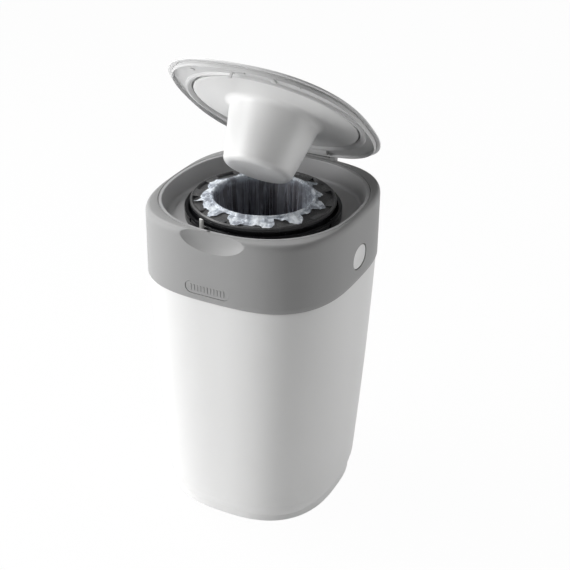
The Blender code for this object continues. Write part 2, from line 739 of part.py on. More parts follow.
LEDGE = grown(MOUTH, -TRAY_DRAW_IN)
LEDGE_BOTTOM = TRAY_LEDGE_Z - TRAY_FLOOR
WELL_FLANGE_TOP = TRAY_LEDGE_Z - WELL_FLANGE_DROP


def inner_tray():
    mesh = new()
    lip = grown(SEAM, -CLEAR / 2)
    back = grown(MOUTH, TRAY_WALL)
    lip_bottom = RIM_Z - TRAY_LIP - CLEAR
    hole = circle(LEDGE_HOLE_RADIUS)
    profile = [
        (lip, lip_bottom),
        (lip, RIM_Z - CLEAR),
        (grown(MOUTH, MOUTH_ROUND), RIM_Z - CLEAR),
        (MOUTH, RIM_Z - MOUTH_ROUND),
        (LEDGE, TRAY_LEDGE_Z + TRAY_FILLET),
        (grown(LEDGE, -TRAY_FILLET), TRAY_LEDGE_Z),
        (hole, TRAY_LEDGE_Z),
        (hole, LEDGE_BOTTOM),
        (LEDGE, LEDGE_BOTTOM),
        (grown(LEDGE, TRAY_WALL), TRAY_LEDGE_Z + TRAY_FILLET),
        (back, lip_bottom),
    ]
    add_profile(mesh, profile, closed=True)
    tray = make("inner_tray", mesh, "tray_plastic")
    posts = new()
    for angle in UNIT_SCREW_ANGLES:
        low = (UNIT_SCREW_RADIUS, 0, WELL_FLANGE_TOP + CLEAR)
        high = (UNIT_SCREW_RADIUS, 0, TRAY_LEDGE_Z - TRAY_FLOOR / 2)
        add_rod(posts, low, high, UNIT_POST_RADIUS, SMALL_SIDES, turned(angle))
    for side in (-1, 1):
        start = side * (PAWL_HALF_WIDTH + 2 * CLEAR)
        ends = sorted((start, start + side * PAWL_EAR_THICK))
        low = (PAWL_RADIUS - PAWL_EAR_HALF_DEPTH, ends[0], LEDGE_BOTTOM - PAWL_EAR_DEPTH)
        high = (PAWL_RADIUS + PAWL_EAR_HALF_DEPTH, ends[1], TRAY_LEDGE_Z - TRAY_FLOOR / 2)
        add_block(posts, low, high, turned(PAWL_ANGLE))
    boolean(tray, posts, "UNION")
    cuts = new()
    for angle in UNIT_SCREW_ANGLES:
        low = (UNIT_SCREW_RADIUS, 0, WELL_FLANGE_TOP - OVERRUN)
        high = (UNIT_SCREW_RADIUS, 0, LEDGE_BOTTOM)
        add_rod(cuts, low, high, SCREW_RADIUS + SCREW_BORE_CLEAR, TINY_SIDES, turned(angle))
    hole_depth, hole_width = PAWL_HALF_DEPTH + PAWL_HOLE_CLEAR, PAWL_HALF_WIDTH + CLEAR
    low = (PAWL_RADIUS - hole_depth, -hole_width, LEDGE_BOTTOM - OVERRUN)
    high = (PAWL_RADIUS + hole_depth, hole_width, TRAY_LEDGE_Z + OVERRUN)
    add_block(cuts, low, high, turned(PAWL_ANGLE))
    add_catch_slot(cuts)
    boolean(tray, cuts, "DIFFERENCE")
    pin_hole = new()
    reach = PAWL_HALF_WIDTH + PAWL_EAR_THICK + OVERRUN
    height = LEDGE_BOTTOM - PAWL_PIN_DROP
    add_rod(pin_hole, (PAWL_RADIUS, -reach, height), (PAWL_RADIUS, reach, height),
            PAWL_PIN_RADIUS + CLEAR, TINY_SIDES, turned(PAWL_ANGLE))
    boolean(tray, pin_hole, "DIFFERENCE")


UNIT_SCREW_ANGLES = (45.0, 135.0, 215.0, 315.0)
TABLE_BOTTOM = TRAY_LEDGE_Z - TABLE_DEPTH
WELL_FLOOR_TOP = TABLE_BOTTOM - RUN_CLEAR
WELL_INNER = TABLE_BODY_RADIUS + RUN_CLEAR


def cassette_well():
    """The cup under the ledge and the throat tube with the ears of the jaws."""
    flange_low = WELL_FLANGE_TOP - WELL_FLANGE_THICK
    profile = [
        (circle(WELL_INNER), WELL_FLANGE_TOP),
        (circle(WELL_FLANGE_RADIUS), WELL_FLANGE_TOP),
        (circle(WELL_FLANGE_RADIUS), flange_low),
        (circle(WELL_INNER + WELL_WALL), flange_low),
        (circle(WELL_INNER + WELL_WALL), WELL_FLOOR_TOP - WELL_WALL),
        (circle(THROAT_RADIUS + THROAT_WALL), WELL_FLOOR_TOP - WELL_WALL),
        (circle(THROAT_RADIUS + THROAT_WALL), THROAT_BOTTOM),
        (circle(THROAT_RADIUS), THROAT_BOTTOM),
        (circle(THROAT_RADIUS), WELL_FLOOR_TOP),
        (circle(WELL_INNER), WELL_FLOOR_TOP),
    ]
    mesh = new()
    add_profile(mesh, profile, closed=True)
    well = make("cassette_well", mesh, "grey_plastic")
    ears = new()
    for angle in JAW_ANGLES:
        for side in (-1, 1):
            start = side * (JAW_BARREL_HALF + CLEAR + CLEAR / 2)
            ends = sorted((start, start + side * JAW_EAR_THICK))
            low = (JAW_HINGE_RADIUS - JAW_EAR_IN, ends[0], JAW_Z - JAW_EAR_HALF_HEIGHT)
            high = (JAW_HINGE_RADIUS + JAW_EAR_OUT, ends[1], JAW_Z + JAW_EAR_HALF_HEIGHT)
            add_block(ears, low, high, turned(angle))
    boolean(well, ears, "UNION")
    cuts = new()
    reach = JAW_BARREL_HALF + JAW_EAR_THICK + OVERRUN
    for angle in JAW_ANGLES:
        start, end = (JAW_HINGE_RADIUS, -reach, JAW_Z), (JAW_HINGE_RADIUS, reach, JAW_Z)
        add_rod(cuts, start, end, JAW_PIN_RADIUS + CLEAR, TINY_SIDES, turned(angle))
    for angle in UNIT_SCREW_ANGLES:
        low = (UNIT_SCREW_RADIUS, 0, flange_low - OVERRUN)
        high = (UNIT_SCREW_RADIUS, 0, WELL_FLANGE_TOP + OVERRUN)
        add_rod(cuts, low, high, SCREW_RADIUS + SCREW_HOLE_CLEAR, TINY_SIDES, turned(angle))
    boolean(well, cuts, "DIFFERENCE")


def unit_screws():
    seat = WELL_FLANGE_TOP - WELL_FLANGE_THICK - CLEAR
    for number, angle in enumerate(UNIT_SCREW_ANGLES, 1):
        mesh = new()
        add_screw(mesh, (UNIT_SCREW_RADIUS, 0, seat), UNIT_SCREW_LENGTH, place=turned(angle))
        make(f"unit_screw_{number}", mesh, "steel")


def hinge_pin():
    mesh = new()
    end = BARREL_HALF + WASHER_THICK + 2 * CLEAR + LUG_THICK
    add_rod(mesh, (-end, HINGE_Y, HINGE_Z), (end, HINGE_Y, HINGE_Z), HINGE_PIN_RADIUS, TINY_SIDES)
    make("hinge_pin", mesh, "steel")


FLANGE_FACE = COLLAR_HALF_WIDTH - COLLAR_WALL - CLEAR
BUTTON_BACK = FLANGE_FACE - BUTTON_FLANGE_THICK
TONGUE_FACE = BUTTON_BACK - BUTTON_STEM - CLEAR


def button_ring(x, half_width, half_height):
    """An oval of the button's shape in the plane of the collar's side."""
    points = []
    sides = 24
    for step in range(sides):
        angle = 2 * math.pi * (step + 0.5) / sides
        cosine, sine = math.cos(angle), math.sin(angle)
        reach = (abs(cosine / half_width) ** BUTTON_POWER + abs(sine / half_height) ** BUTTON_POWER)
        reach = reach ** (-1 / BUTTON_POWER)
        points.append(Vector((x, reach * cosine, BUTTON_Z + reach * sine)))
    return points


def button(side, name):
    face = COLLAR_HALF_WIDTH - BUTTON_SUNK
    cap = (BUTTON_HALF_WIDTH, BUTTON_HALF_HEIGHT)
    flange = (BUTTON_HALF_WIDTH + BUTTON_FLANGE, BUTTON_HALF_HEIGHT + BUTTON_FLANGE)
    stem = (BUTTON_STEM_HALF_WIDTH, BUTTON_STEM_HALF_HEIGHT)
    rounded = (BUTTON_HALF_WIDTH - BUTTON_ROUND, BUTTON_HALF_HEIGHT - BUTTON_ROUND)
    stations = [
        (BUTTON_BACK - BUTTON_STEM, stem),
        (BUTTON_BACK, stem),
        (BUTTON_BACK, flange),
        (FLANGE_FACE, flange),
        (FLANGE_FACE, cap),
        (face - BUTTON_ROUND, cap),
        (face, rounded),
    ]
    mesh = new()
    add_rings(mesh, [button_ring(side * x, *size) for x, size in stations])
    make(name, mesh, "white_plastic", axis_empty(f"{name}_axis", (side * BUTTON_BACK, 0, BUTTON_Z)))


def latch_tongue(side, name):
    """A flexible leaf whose foot is under the ledge and whose hook is in the neck's window."""
    back = TONGUE_FACE - TONGUE_THICK
    top = LEDGE_BOTTOM - CLEAR
    hook_top = NECK_TOP - HOOK_TOP_DROP
    tip = TONGUE_FACE + HOOK_LENGTH
    low = hook_top - HOOK_HEIGHT - HOOK_LEAD
    outline = [
        (TONGUE_FACE - TONGUE_FOOT, top - TONGUE_FOOT_THICK),
        (TONGUE_FACE - TONGUE_FOOT, top),
        (TONGUE_FACE, top),
        (TONGUE_FACE, hook_top),
        (tip, hook_top),
        (tip, hook_top - HOOK_HEIGHT),
        (TONGUE_FACE, low),
        (back, low),
        (back, top - TONGUE_FOOT_THICK),
    ]
    mesh = new()
    add_slab(mesh, [(side * x, z) for x, z in outline], 1, -TONGUE_HALF_WIDTH, TONGUE_HALF_WIDTH)
    make(name, mesh, "grey_plastic")


def click_pawl():
    place = turned(PAWL_ANGLE)
    bottom = LEDGE_BOTTOM - PAWL_DROP + PAWL_HALF_DEPTH
    pin_z = LEDGE_BOTTOM - PAWL_PIN_DROP
    mesh = new()
    outline = [(PAWL_RADIUS - PAWL_HALF_DEPTH, bottom), (PAWL_RADIUS + PAWL_HALF_DEPTH, bottom)]
    crown = PAWL_TOP - PAWL_HALF_DEPTH
    for step in range(ARC_STEPS + 1):
        angle = math.pi * step / ARC_STEPS
        outline.append((PAWL_RADIUS + PAWL_HALF_DEPTH * math.cos(angle),
                        crown + PAWL_HALF_DEPTH * math.sin(angle)))
    add_slab(mesh, outline, 1, -PAWL_HALF_WIDTH, PAWL_HALF_WIDTH, place)
    axis = axis_empty("pawl_axis", place @ Vector((PAWL_RADIUS, 0, pin_z)))
    pawl = make("click_pawl", mesh, "peg_plastic", axis)
    hole = new()
    reach = PAWL_HALF_WIDTH + OVERRUN
    add_rod(hole, (PAWL_RADIUS, -reach, pin_z), (PAWL_RADIUS, reach, pin_z),
            PAWL_PIN_RADIUS + CLEAR, TINY_SIDES, place)
    boolean(pawl, hole, "DIFFERENCE")
    pin = new()
    reach = PAWL_HALF_WIDTH + 2 * CLEAR + PAWL_EAR_THICK
    add_rod(pin, (PAWL_RADIUS, -reach, pin_z), (PAWL_RADIUS, reach, pin_z),
            PAWL_PIN_RADIUS, TINY_SIDES, place)
    make("pawl_pin", pin, "steel")


def jaws():
    """Three flaps that close the throat under the film, each on its own pin."""
    for number, angle in enumerate(JAW_ANGLES, 1):
        place = turned(angle)
        low, high = JAW_Z - JAW_THICK / 2, JAW_Z + JAW_THICK / 2
        spread = math.radians(JAW_HALF_ANGLE)
        sweep = [spread * (2 * step / JAW_ARC_STEPS - 1) for step in range(JAW_ARC_STEPS + 1)]
        outline = [(JAW_OUTER_RADIUS * math.cos(a), JAW_OUTER_RADIUS * math.sin(a)) for a in sweep]
        outline += [(JAW_TIP_RADIUS * math.cos(a), JAW_TIP_RADIUS * math.sin(a)) for a in sweep[::-2]]
        mesh = new()
        add_slab(mesh, outline, 2, low, high, place)
        axis = axis_empty(f"jaw_{number}_axis", place @ Vector((JAW_HINGE_RADIUS, 0, JAW_Z)))
        jaw = make(f"jaw_{number}", mesh, "grey_plastic", axis)
        barrel = new()
        web = JAW_THICK / 2 - CLEAR
        half = JAW_BARREL_HALF
        add_rod(barrel, (JAW_HINGE_RADIUS, -half, JAW_Z), (JAW_HINGE_RADIUS, half, JAW_Z),
                JAW_BARREL_RADIUS, TINY_SIDES, place)
        boolean(jaw, barrel, "UNION")
        bridge = new()
        inner = JAW_OUTER_RADIUS - JAW_THICK * 2
        add_block(bridge, (inner, CLEAR - half, JAW_Z - web),
                  (JAW_HINGE_RADIUS, half - CLEAR, JAW_Z + web), place)
        boolean(jaw, bridge, "UNION")
        hole = new()
        reach = half + OVERRUN
        add_rod(hole, (JAW_HINGE_RADIUS, -reach, JAW_Z), (JAW_HINGE_RADIUS, reach, JAW_Z),
                JAW_PIN_RADIUS + CLEAR, TINY_SIDES, place)
        boolean(jaw, hole, "DIFFERENCE")
        reach = half + CLEAR + JAW_EAR_THICK
        pin = new()
        add_rod(pin, (JAW_HINGE_RADIUS, -reach, JAW_Z), (JAW_HINGE_RADIUS, reach, JAW_Z),
                JAW_PIN_RADIUS, TINY_SIDES, place)
        make(f"jaw_pin_{number}", pin, "steel")
        leg = THROAT_RADIUS - RUN_CLEAR / 2
        arm_top = JAW_Z - JAW_BARREL_RADIUS - CLEAR
        tip = leg - SPRING_REACH
        shape = [
            (tip, arm_top - SPRING_THICK),
            (leg - SPRING_THICK, arm_top - SPRING_THICK),
            (leg - SPRING_THICK, arm_top - SPRING_LEG),
            (leg, arm_top - SPRING_LEG),
            (leg, arm_top),
            (tip, arm_top),
        ]
        spring = new()
        add_slab(spring, shape, 1, -SPRING_HALF_WIDTH, SPRING_HALF_WIDTH, place)
        make(f"jaw_spring_{number}", spring, "steel")


def cutter():
    place = turned(CUTTER_ANGLE)
    back = THROAT_RADIUS + THROAT_WALL + CLEAR
    mesh = new()
    add_block(mesh, (back, -CUTTER_HALF_WIDTH, THROAT_BOTTOM),
              (back + CUTTER_DEPTH, CUTTER_HALF_WIDTH, THROAT_BOTTOM + CUTTER_HEIGHT), place)
    guard = make("cutter_guard", mesh, "white_plastic")
    slot = new()
    add_block(slot, (back + CUTTER_SLOT_HALF * 2, -CUTTER_SLOT_HALF, THROAT_BOTTOM - OVERRUN),
              (back + CUTTER_DEPTH + OVERRUN, CUTTER_SLOT_HALF, THROAT_BOTTOM + CUTTER_SLOT_HEIGHT), place)
    boolean(guard, slot, "DIFFERENCE")
    blade = new()
    top = THROAT_BOTTOM + CUTTER_SLOT_HEIGHT - CLEAR
    near = back + CUTTER_SLOT_HALF * 2 + CLEAR
    far = back + CUTTER_DEPTH - CUTTER_SLOT_HALF
    outline = [(near, top), (far, top), (near, top - BLADE_HEIGHT)]
    add_slab(blade, outline, 1, -BLADE_THICK / 2, BLADE_THICK / 2, place)
    make("cutter_blade", blade, "steel")


def turntable(axis):
    flange_top = TRAY_LEDGE_Z + CLEAR + TABLE_FLANGE_HEIGHT
    flange_low = TRAY_LEDGE_Z + CLEAR
    profile = [
        (circle(TABLE_BODY_RADIUS), TABLE_BOTTOM),
        (circle(TABLE_BODY_RADIUS), flange_low),
        (circle(TABLE_FLANGE_RADIUS), flange_low),
        (circle(TABLE_FLANGE_RADIUS), flange_top - TABLE_CHAMFER),
        (circle(TABLE_FLANGE_RADIUS - TABLE_CHAMFER), flange_top),
        (circle(TABLE_POCKET_RADIUS), flange_top),
        (circle(TABLE_POCKET_RADIUS), TABLE_BOTTOM + TABLE_FLOOR),
        (circle(TABLE_HOLE_RADIUS), TABLE_BOTTOM + TABLE_FLOOR),
        (circle(TABLE_HOLE_RADIUS), TABLE_BOTTOM),
    ]
    mesh = new()
    add_profile(mesh, profile, closed=True)
    make("turntable", mesh, "black_plastic", axis)


CASSETTE_OUTER = TABLE_POCKET_RADIUS - RUN_CLEAR
CASSETTE_BOTTOM = TABLE_BOTTOM + TABLE_FLOOR + CLEAR
TROUGH_OUTER = CASSETTE_OUTER - CASSETTE_WALL
TROUGH_INNER = CASSETTE_INNER_RADIUS + CASSETTE_WALL
TROUGH_FLOOR = CASSETTE_BOTTOM + CASSETTE_WALL
TOP_RING_BASE = CASSETTE_RIM_Z + CLEAR
TOP_RING_INNER = TROUGH_INNER + TOP_RING_SLIT


def cassette_body(axis):
    profile = [
        (circle(CASSETTE_INNER_RADIUS), CASSETTE_BOTTOM),
        (circle(CASSETTE_OUTER), CASSETTE_BOTTOM),
        (circle(CASSETTE_OUTER), CASSETTE_RIM_Z),
        (circle(TROUGH_OUTER), CASSETTE_RIM_Z),
        (circle(TROUGH_OUTER), TROUGH_FLOOR),
        (circle(TROUGH_INNER), TROUGH_FLOOR),
        (circle(TROUGH_INNER), CASSETTE_LIP_Z - CASSETTE_LIP_ROUND),
        (circle((TROUGH_INNER + CASSETTE_INNER_RADIUS) / 2), CASSETTE_LIP_Z),
        (circle(CASSETTE_INNER_RADIUS), CASSETTE_LIP_Z - CASSETTE_LIP_ROUND),
    ]
    mesh = new()
    add_profile(mesh, profile, closed=True)
    make("cassette_body", mesh, "black_plastic", axis)


def cassette_top_ring(axis):
    bead_top = TOP_RING_BASE + TOP_RING_BEAD
    bead_in = CASSETTE_OUTER - TOP_RING_BEAD_WIDTH
    plate_low = TOP_RING_BASE + CLEAR
    profile = [
        (circle(TOP_RING_INNER), plate_low + TOP_RING_RISE),
        (circle(bead_in - TOP_RING_BEAD_WIDTH / 2), plate_low + TOP_RING_THICK / 2),
        (circle(bead_in), bead_top - TABLE_CHAMFER),
        (circle(bead_in + TOP_RING_BEAD_WIDTH / 2), bead_top),
        (circle(CASSETTE_OUTER), bead_top - TABLE_CHAMFER),
        (circle(CASSETTE_OUTER), TOP_RING_BASE),
        (circle(TROUGH_OUTER - CLEAR), TOP_RING_BASE),
        (circle(bead_in), TOP_RING_BASE - TOP_RING_THICK / 2),
        (circle(TOP_RING_INNER), plate_low + TOP_RING_RISE - TOP_RING_THICK),
    ]
    mesh = new()
    add_profile(mesh, profile, closed=True)
    make("cassette_top_ring", mesh, "black_plastic", axis)


def film(axis):
    low, high = TROUGH_FLOOR + CLEAR, TOP_RING_BASE - PACK_TOP_DROP
    inner, outer = TROUGH_INNER + PACK_CLEAR, TROUGH_OUTER - PACK_CLEAR
    mesh = new()
    profile = [(inner, low), (outer, low), (outer, high), (inner, high)]
    add_profile(mesh, [(circle(radius), height) for radius, height in profile], closed=True)
    make("film_pack", mesh, "film", axis)
    ring_top = TOP_RING_BASE + CLEAR + TOP_RING_RISE
    slope = TOP_RING_RISE / (CASSETTE_OUTER - TOP_RING_BEAD_WIDTH - TOP_RING_INNER)
    apron_z = ring_top - slope * (FILM_APRON - TOP_RING_INNER) + 2 * CLEAR
    lip = CASSETTE_LIP_Z + CLEAR
    wall = CASSETTE_INNER_RADIUS - FILM_INSET
    crown = (TROUGH_INNER + CASSETTE_INNER_RADIUS) / 2
    jaw_top = JAW_Z + JAW_THICK / 2
    route = [
        (FILM_APRON, apron_z),
        (TOP_RING_INNER + CASSETTE_WALL, ring_top + CLEAR),
        (TROUGH_INNER + CLEAR, lip + CLEAR),
        (crown, lip + FILM_LIP_RISE),
        (wall + CLEAR, lip),
        (wall, lip - CASSETTE_WALL),
        (wall - CLEAR, jaw_top + FUNNEL_TOP_RISE),
        (FUNNEL_MID_RADIUS, jaw_top + FUNNEL_MID_RISE),
        (FUNNEL_LOW_RADIUS, jaw_top + FUNNEL_LOW_RISE),
        (FILM_TAIL_RADIUS + FILM_INSET * 2, jaw_top + FUNNEL_LOW_RISE / 2),
        (FILM_TAIL_RADIUS, jaw_top),
        (FILM_TAIL_RADIUS, jaw_top - FILM_TAIL_LENGTH),
    ]
    rings = [Vector(point) for point in route]
    inside = []
    for index, point in enumerate(rings):
        before, after = rings[max(index - 1, 0)], rings[min(index + 1, len(rings) - 1)]
        run = (after - before).normalized()
        inside.append(point + Vector((run.y, -run.x)) * FILM_THICK)
    profile = [(circle(point.x), point.y) for point in rings + inside[::-1]]
    mesh = new()
    add_profile(mesh, profile, closed=True, sides=BIG_SIDES // 2)
    make("film_sleeve", mesh, "film", axis)
    knot = new()
    tail_hole = FILM_TAIL_RADIUS - FILM_THICK
    seated = KNOT_HEIGHT / 2 * (1 - math.sqrt(1 - (tail_hole / KNOT_RADIUS) ** 2))
    top = jaw_top - FILM_TAIL_LENGTH - CLEAR + seated
    place = Matrix.Translation((0, AXIS_Y, top - KNOT_HEIGHT / 2))
    place = place @ Matrix.Diagonal((KNOT_RADIUS, KNOT_RADIUS, KNOT_HEIGHT / 2, 1))
    bmesh.ops.create_uvsphere(knot, u_segments=SMALL_SIDES, v_segments=8, radius=1, matrix=place)
    make("film_knot", knot, "film", axis)


LID_TOP_EDGE = LID_BOTTOM + LID_EDGE_THICK


def lid_height(share):
    """Height of the lid's outer face, from its edge at 0 to the dial's hole at 1."""
    return LID_TOP_EDGE + LID_RISE * (1 - (1 - share) ** 2)


def lid_shell(axis):
    hole = circle(LID_HOLE_RADIUS)
    near_edge = grown(LID, -LID_EDGE_ROUND * 3)
    profile = [
        (grown(LID, -LID_EDGE_ROUND), LID_BOTTOM),
        (LID, LID_BOTTOM + LID_EDGE_ROUND),
        (LID, LID_TOP_EDGE - LID_EDGE_ROUND),
        (grown(LID, -LID_EDGE_ROUND), LID_TOP_EDGE - LID_EDGE_ROUND / 4),
    ]
    shares = [step / LID_RINGS for step in range(LID_RINGS + 1)]
    top = [(between(near_edge, hole, share), lid_height(share)) for share in shares]
    band = grown(LID, -LID_BAND)
    under = [(between(band, hole, share), lid_height(share) - LID_WALL) for share in shares]
    under[0] = (band, LID_TOP_EDGE - LID_WALL + CLEAR)
    mesh = new()
    add_profile(mesh, profile + top + under[::-1] + [(band, LID_BOTTOM)], closed=True)
    lid = make("lid_shell", mesh, "lid_plastic", axis)
    arm = new()
    arm_in = LID_SHIFT + LID_HALF_DEPTH - LID_BAND + CLEAR
    add_block(arm, (CLEAR - BARREL_HALF, arm_in, LID_BOTTOM - CLEAR),
              (BARREL_HALF - CLEAR, HINGE_Y, LID_TOP_EDGE))
    boolean(lid, arm, "UNION")
    barrel = new()
    add_rod(barrel, (-BARREL_HALF, HINGE_Y, HINGE_Z), (BARREL_HALF, HINGE_Y, HINGE_Z),
            BARREL_RADIUS, SMALL_SIDES)
    boolean(lid, barrel, "UNION")
    cuts = new()
    start = BARREL_HALF + CLEAR / 2
    end = BARREL_HALF + WASHER_THICK + LUG_THICK + LUG_LID_CLEAR + 2 * CLEAR
    for side in (-1, 1):
        ends = sorted((side * start, side * end))
        add_block(cuts, (ends[0], HINGE_Y - LUG_HALF_DEPTH - LUG_LID_CLEAR, LID_BOTTOM - OVERRUN * 2),
                  (ends[1], HINGE_Y + LUG_HALF_DEPTH + OVERRUN, LID_TOP_EDGE + LID_RISE + OVERRUN))
    boolean(lid, cuts, "DIFFERENCE")
    bore = new()
    reach = BARREL_HALF + OVERRUN
    add_rod(bore, (-reach, HINGE_Y, HINGE_Z), (reach, HINGE_Y, HINGE_Z),
            HINGE_PIN_RADIUS + CLEAR, TINY_SIDES)
    boolean(lid, bore, "DIFFERENCE")


def lid_liner(axis):
    outer = grown(LID, -LID_BAND - CLEAR)
    inner = circle(PLATE_RADIUS + PLATE_GAP)
    low = LID_BOTTOM - LINER_DROP
    profile = [
        (outer, low + LINER_HEIGHT),
        (outer, low),
        (circle(PLATE_RADIUS + PLATE_GAP * 2), low),
        (circle(PLATE_RADIUS + PLATE_GAP * 3 / 2), low - LINER_BEAD),
        (inner, low - LINER_BEAD),
        (inner, low + LINER_HEIGHT),
    ]
    mesh = new()
    add_profile(mesh, profile, closed=True)
    make("lid_liner", mesh, "lid_plastic", axis)


def lid_seal(axis):
    top = LID_BOTTOM - LINER_DROP - CLEAR
    outer, inner = grown(LID, -SEAL_INSET), grown(LID, -SEAL_INSET - SEAL_WIDTH)
    middle = grown(LID, -SEAL_INSET - SEAL_WIDTH / 2)
    mesh = new()
    profile = [(inner, top), (outer, top), (middle, top - SEAL_HEIGHT)]
    add_profile(mesh, profile, closed=True)
    make("lid_seal", mesh, "seal_rubber", axis)


def lid_catch(axis):
    mid = -MOUTH_HALF_DEPTH - CATCH_SLOT_INSET - CATCH_SLOT_DEPTH / 2
    top = LID_BOTTOM - LINER_DROP - CLEAR
    foot = top - CATCH_FOOT_THICK
    half = CATCH_THICK / 2
    outline = [
        (mid - CATCH_FOOT_HALF / 2, top),
        (mid + CATCH_FOOT_HALF, top),
        (mid + CATCH_FOOT_HALF, foot),
        (mid + half, foot),
        (mid + half, top - CATCH_LENGTH),
        (mid - half, top - CATCH_LENGTH),
        (mid - half, foot),
        (mid - CATCH_FOOT_HALF / 2, foot),
    ]
    mesh = new()
    add_slab(mesh, outline, 0, CATCH_X - CATCH_HALF_WIDTH, CATCH_X + CATCH_HALF_WIDTH)
    make("lid_catch", mesh, "lid_plastic", axis)


def hinge_washers(axis):
    for_hole = HINGE_PIN_RADIUS + CLEAR
    for side, word in ((-1, "left"), (1, "right")):
        mesh = new()
        start = side * (BARREL_HALF + CLEAR)
        end = start + side * WASHER_THICK
        rings = []
        for x, radius in ((start, WASHER_RADIUS), (end, WASHER_RADIUS), (end, for_hole), (start, for_hole)):
            rings.append([Vector((x, HINGE_Y + radius * math.cos(a), HINGE_Z + radius * math.sin(a)))
                          for a in washer_angles()])
        add_rings(mesh, rings, closed=True)
        make(f"hinge_washer_{word}", mesh, "steel", axis)


def washer_angles():
    return [2 * math.pi * (step + 0.5) / SMALL_SIDES for step in range(SMALL_SIDES)]


def dial_bearing(axis):
    inner, outer = DIAL_BODY_RADIUS + 2 * CLEAR, LID_HOLE_RADIUS - CLEAR
    shell_low = lid_height(1) - LID_WALL
    flange_top = shell_low - CLEAR
    flange_low = flange_top - BEARING_FLANGE_THICK
    profile = [
        (inner, lid_height(1)),
        (outer, lid_height(1)),
        (outer, flange_top),
        (outer + BEARING_FLANGE, flange_top - CLEAR),
        (outer + BEARING_FLANGE, flange_low),
        (inner, flange_low),
    ]
    mesh = new()
    add_profile(mesh, [(circle(radius), height) for radius, height in profile], closed=True)
    make("dial_bearing", mesh, "white_plastic", axis)


PLUNGER_BOTTOM = LID_BOTTOM - PLUNGER_LENGTH
PLATE_LOW = LID_BOTTOM - PLATE_DROP


def flare(wall):
    """The trumpet between the plunger's wall and its plate, on the outer or the inner side."""
    centre = Vector((PLUNGER_TOP_RADIUS + FLARE_RADIUS, PLATE_LOW - FLARE_DROP - FLARE_RADIUS))
    radius = FLARE_RADIUS + wall
    steps = ARC_STEPS + 2
    points = []
    for step in range(steps + 1):
        angle = math.pi - math.pi / 2 * step / steps
        points.append((centre.x + radius * math.cos(angle), centre.y + radius * math.sin(angle)))
    return points


def plunger(axis):
    """The cup, the neck that is screwed to the dial, and the plate round the neck."""
    tip_flat = PLUNGER_TIP_RADIUS - PLUNGER_TIP_ROUND
    wall = PLUNGER_WALL
    near_top = PLUNGER_TOP_RADIUS - wall
    trumpet = flare(0)
    joint_z = trumpet[0][1]
    cup = [(tip_flat, PLUNGER_BOTTOM)]
    for step in range(1, ARC_STEPS + 1):
        angle = math.pi / 2 * step / ARC_STEPS
        cup.append((tip_flat + PLUNGER_TIP_ROUND * math.sin(angle),
                    PLUNGER_BOTTOM + PLUNGER_TIP_ROUND * (1 - math.cos(angle))))
    cup += [(PLUNGER_TOP_RADIUS, joint_z - CLEAR), (near_top, joint_z - CLEAR)]
    cup += [(PLUNGER_TIP_RADIUS - wall, PLUNGER_BOTTOM + PLUNGER_TIP_ROUND),
            (tip_flat - wall, PLUNGER_BOTTOM + wall)]
    mesh = new()
    add_profile(mesh, [(circle(radius), height) for radius, height in cup])
    make("plunger", mesh, "white_plastic", axis)

    shelf_low = SHELF_Z - SHELF_THICK
    inner = [point for point in flare(wall)[::-1] if point[1] > SHELF_Z + CLEAR]
    neck = trumpet + inner + [(near_top, SHELF_Z), (SHELF_RADIUS, SHELF_Z)]
    neck += [(SHELF_RADIUS, shelf_low), (near_top, shelf_low), (near_top, joint_z)]
    mesh = new()
    add_profile(mesh, [(circle(radius), height) for radius, height in neck], closed=True)
    body = make("plunger_neck", mesh, "white_plastic", axis)
    cuts = new()
    for angle in DIAL_SCREW_ANGLES:
        low = (DIAL_SCREW_RADIUS, 0, shelf_low - OVERRUN)
        high = (DIAL_SCREW_RADIUS, 0, SHELF_Z + OVERRUN)
        add_rod(cuts, low, high, SCREW_RADIUS + SCREW_BORE_CLEAR, TINY_SIDES, turned(angle))
    boolean(body, cuts, "DIFFERENCE")

    plate = [
        (trumpet[-1][0] + CLEAR, trumpet[-1][1]),
        (PLATE_RADIUS - PLATE_ROUND, PLATE_LOW),
        (PLATE_RADIUS, PLATE_LOW + PLATE_ROUND),
        (PLATE_RADIUS, PLATE_LOW + PLATE_THICK),
        (inner[0][0] + CLEAR, inner[0][1]),
    ]
    mesh = new()
    add_profile(mesh, [(circle(radius), height) for radius, height in plate], closed=True)
    make("plunger_plate", mesh, "white_plastic", axis)


DIAL_LOW = SHELF_Z + CLEAR
DIAL_FLOOR_TOP = DIAL_LOW + DIAL_FLOOR


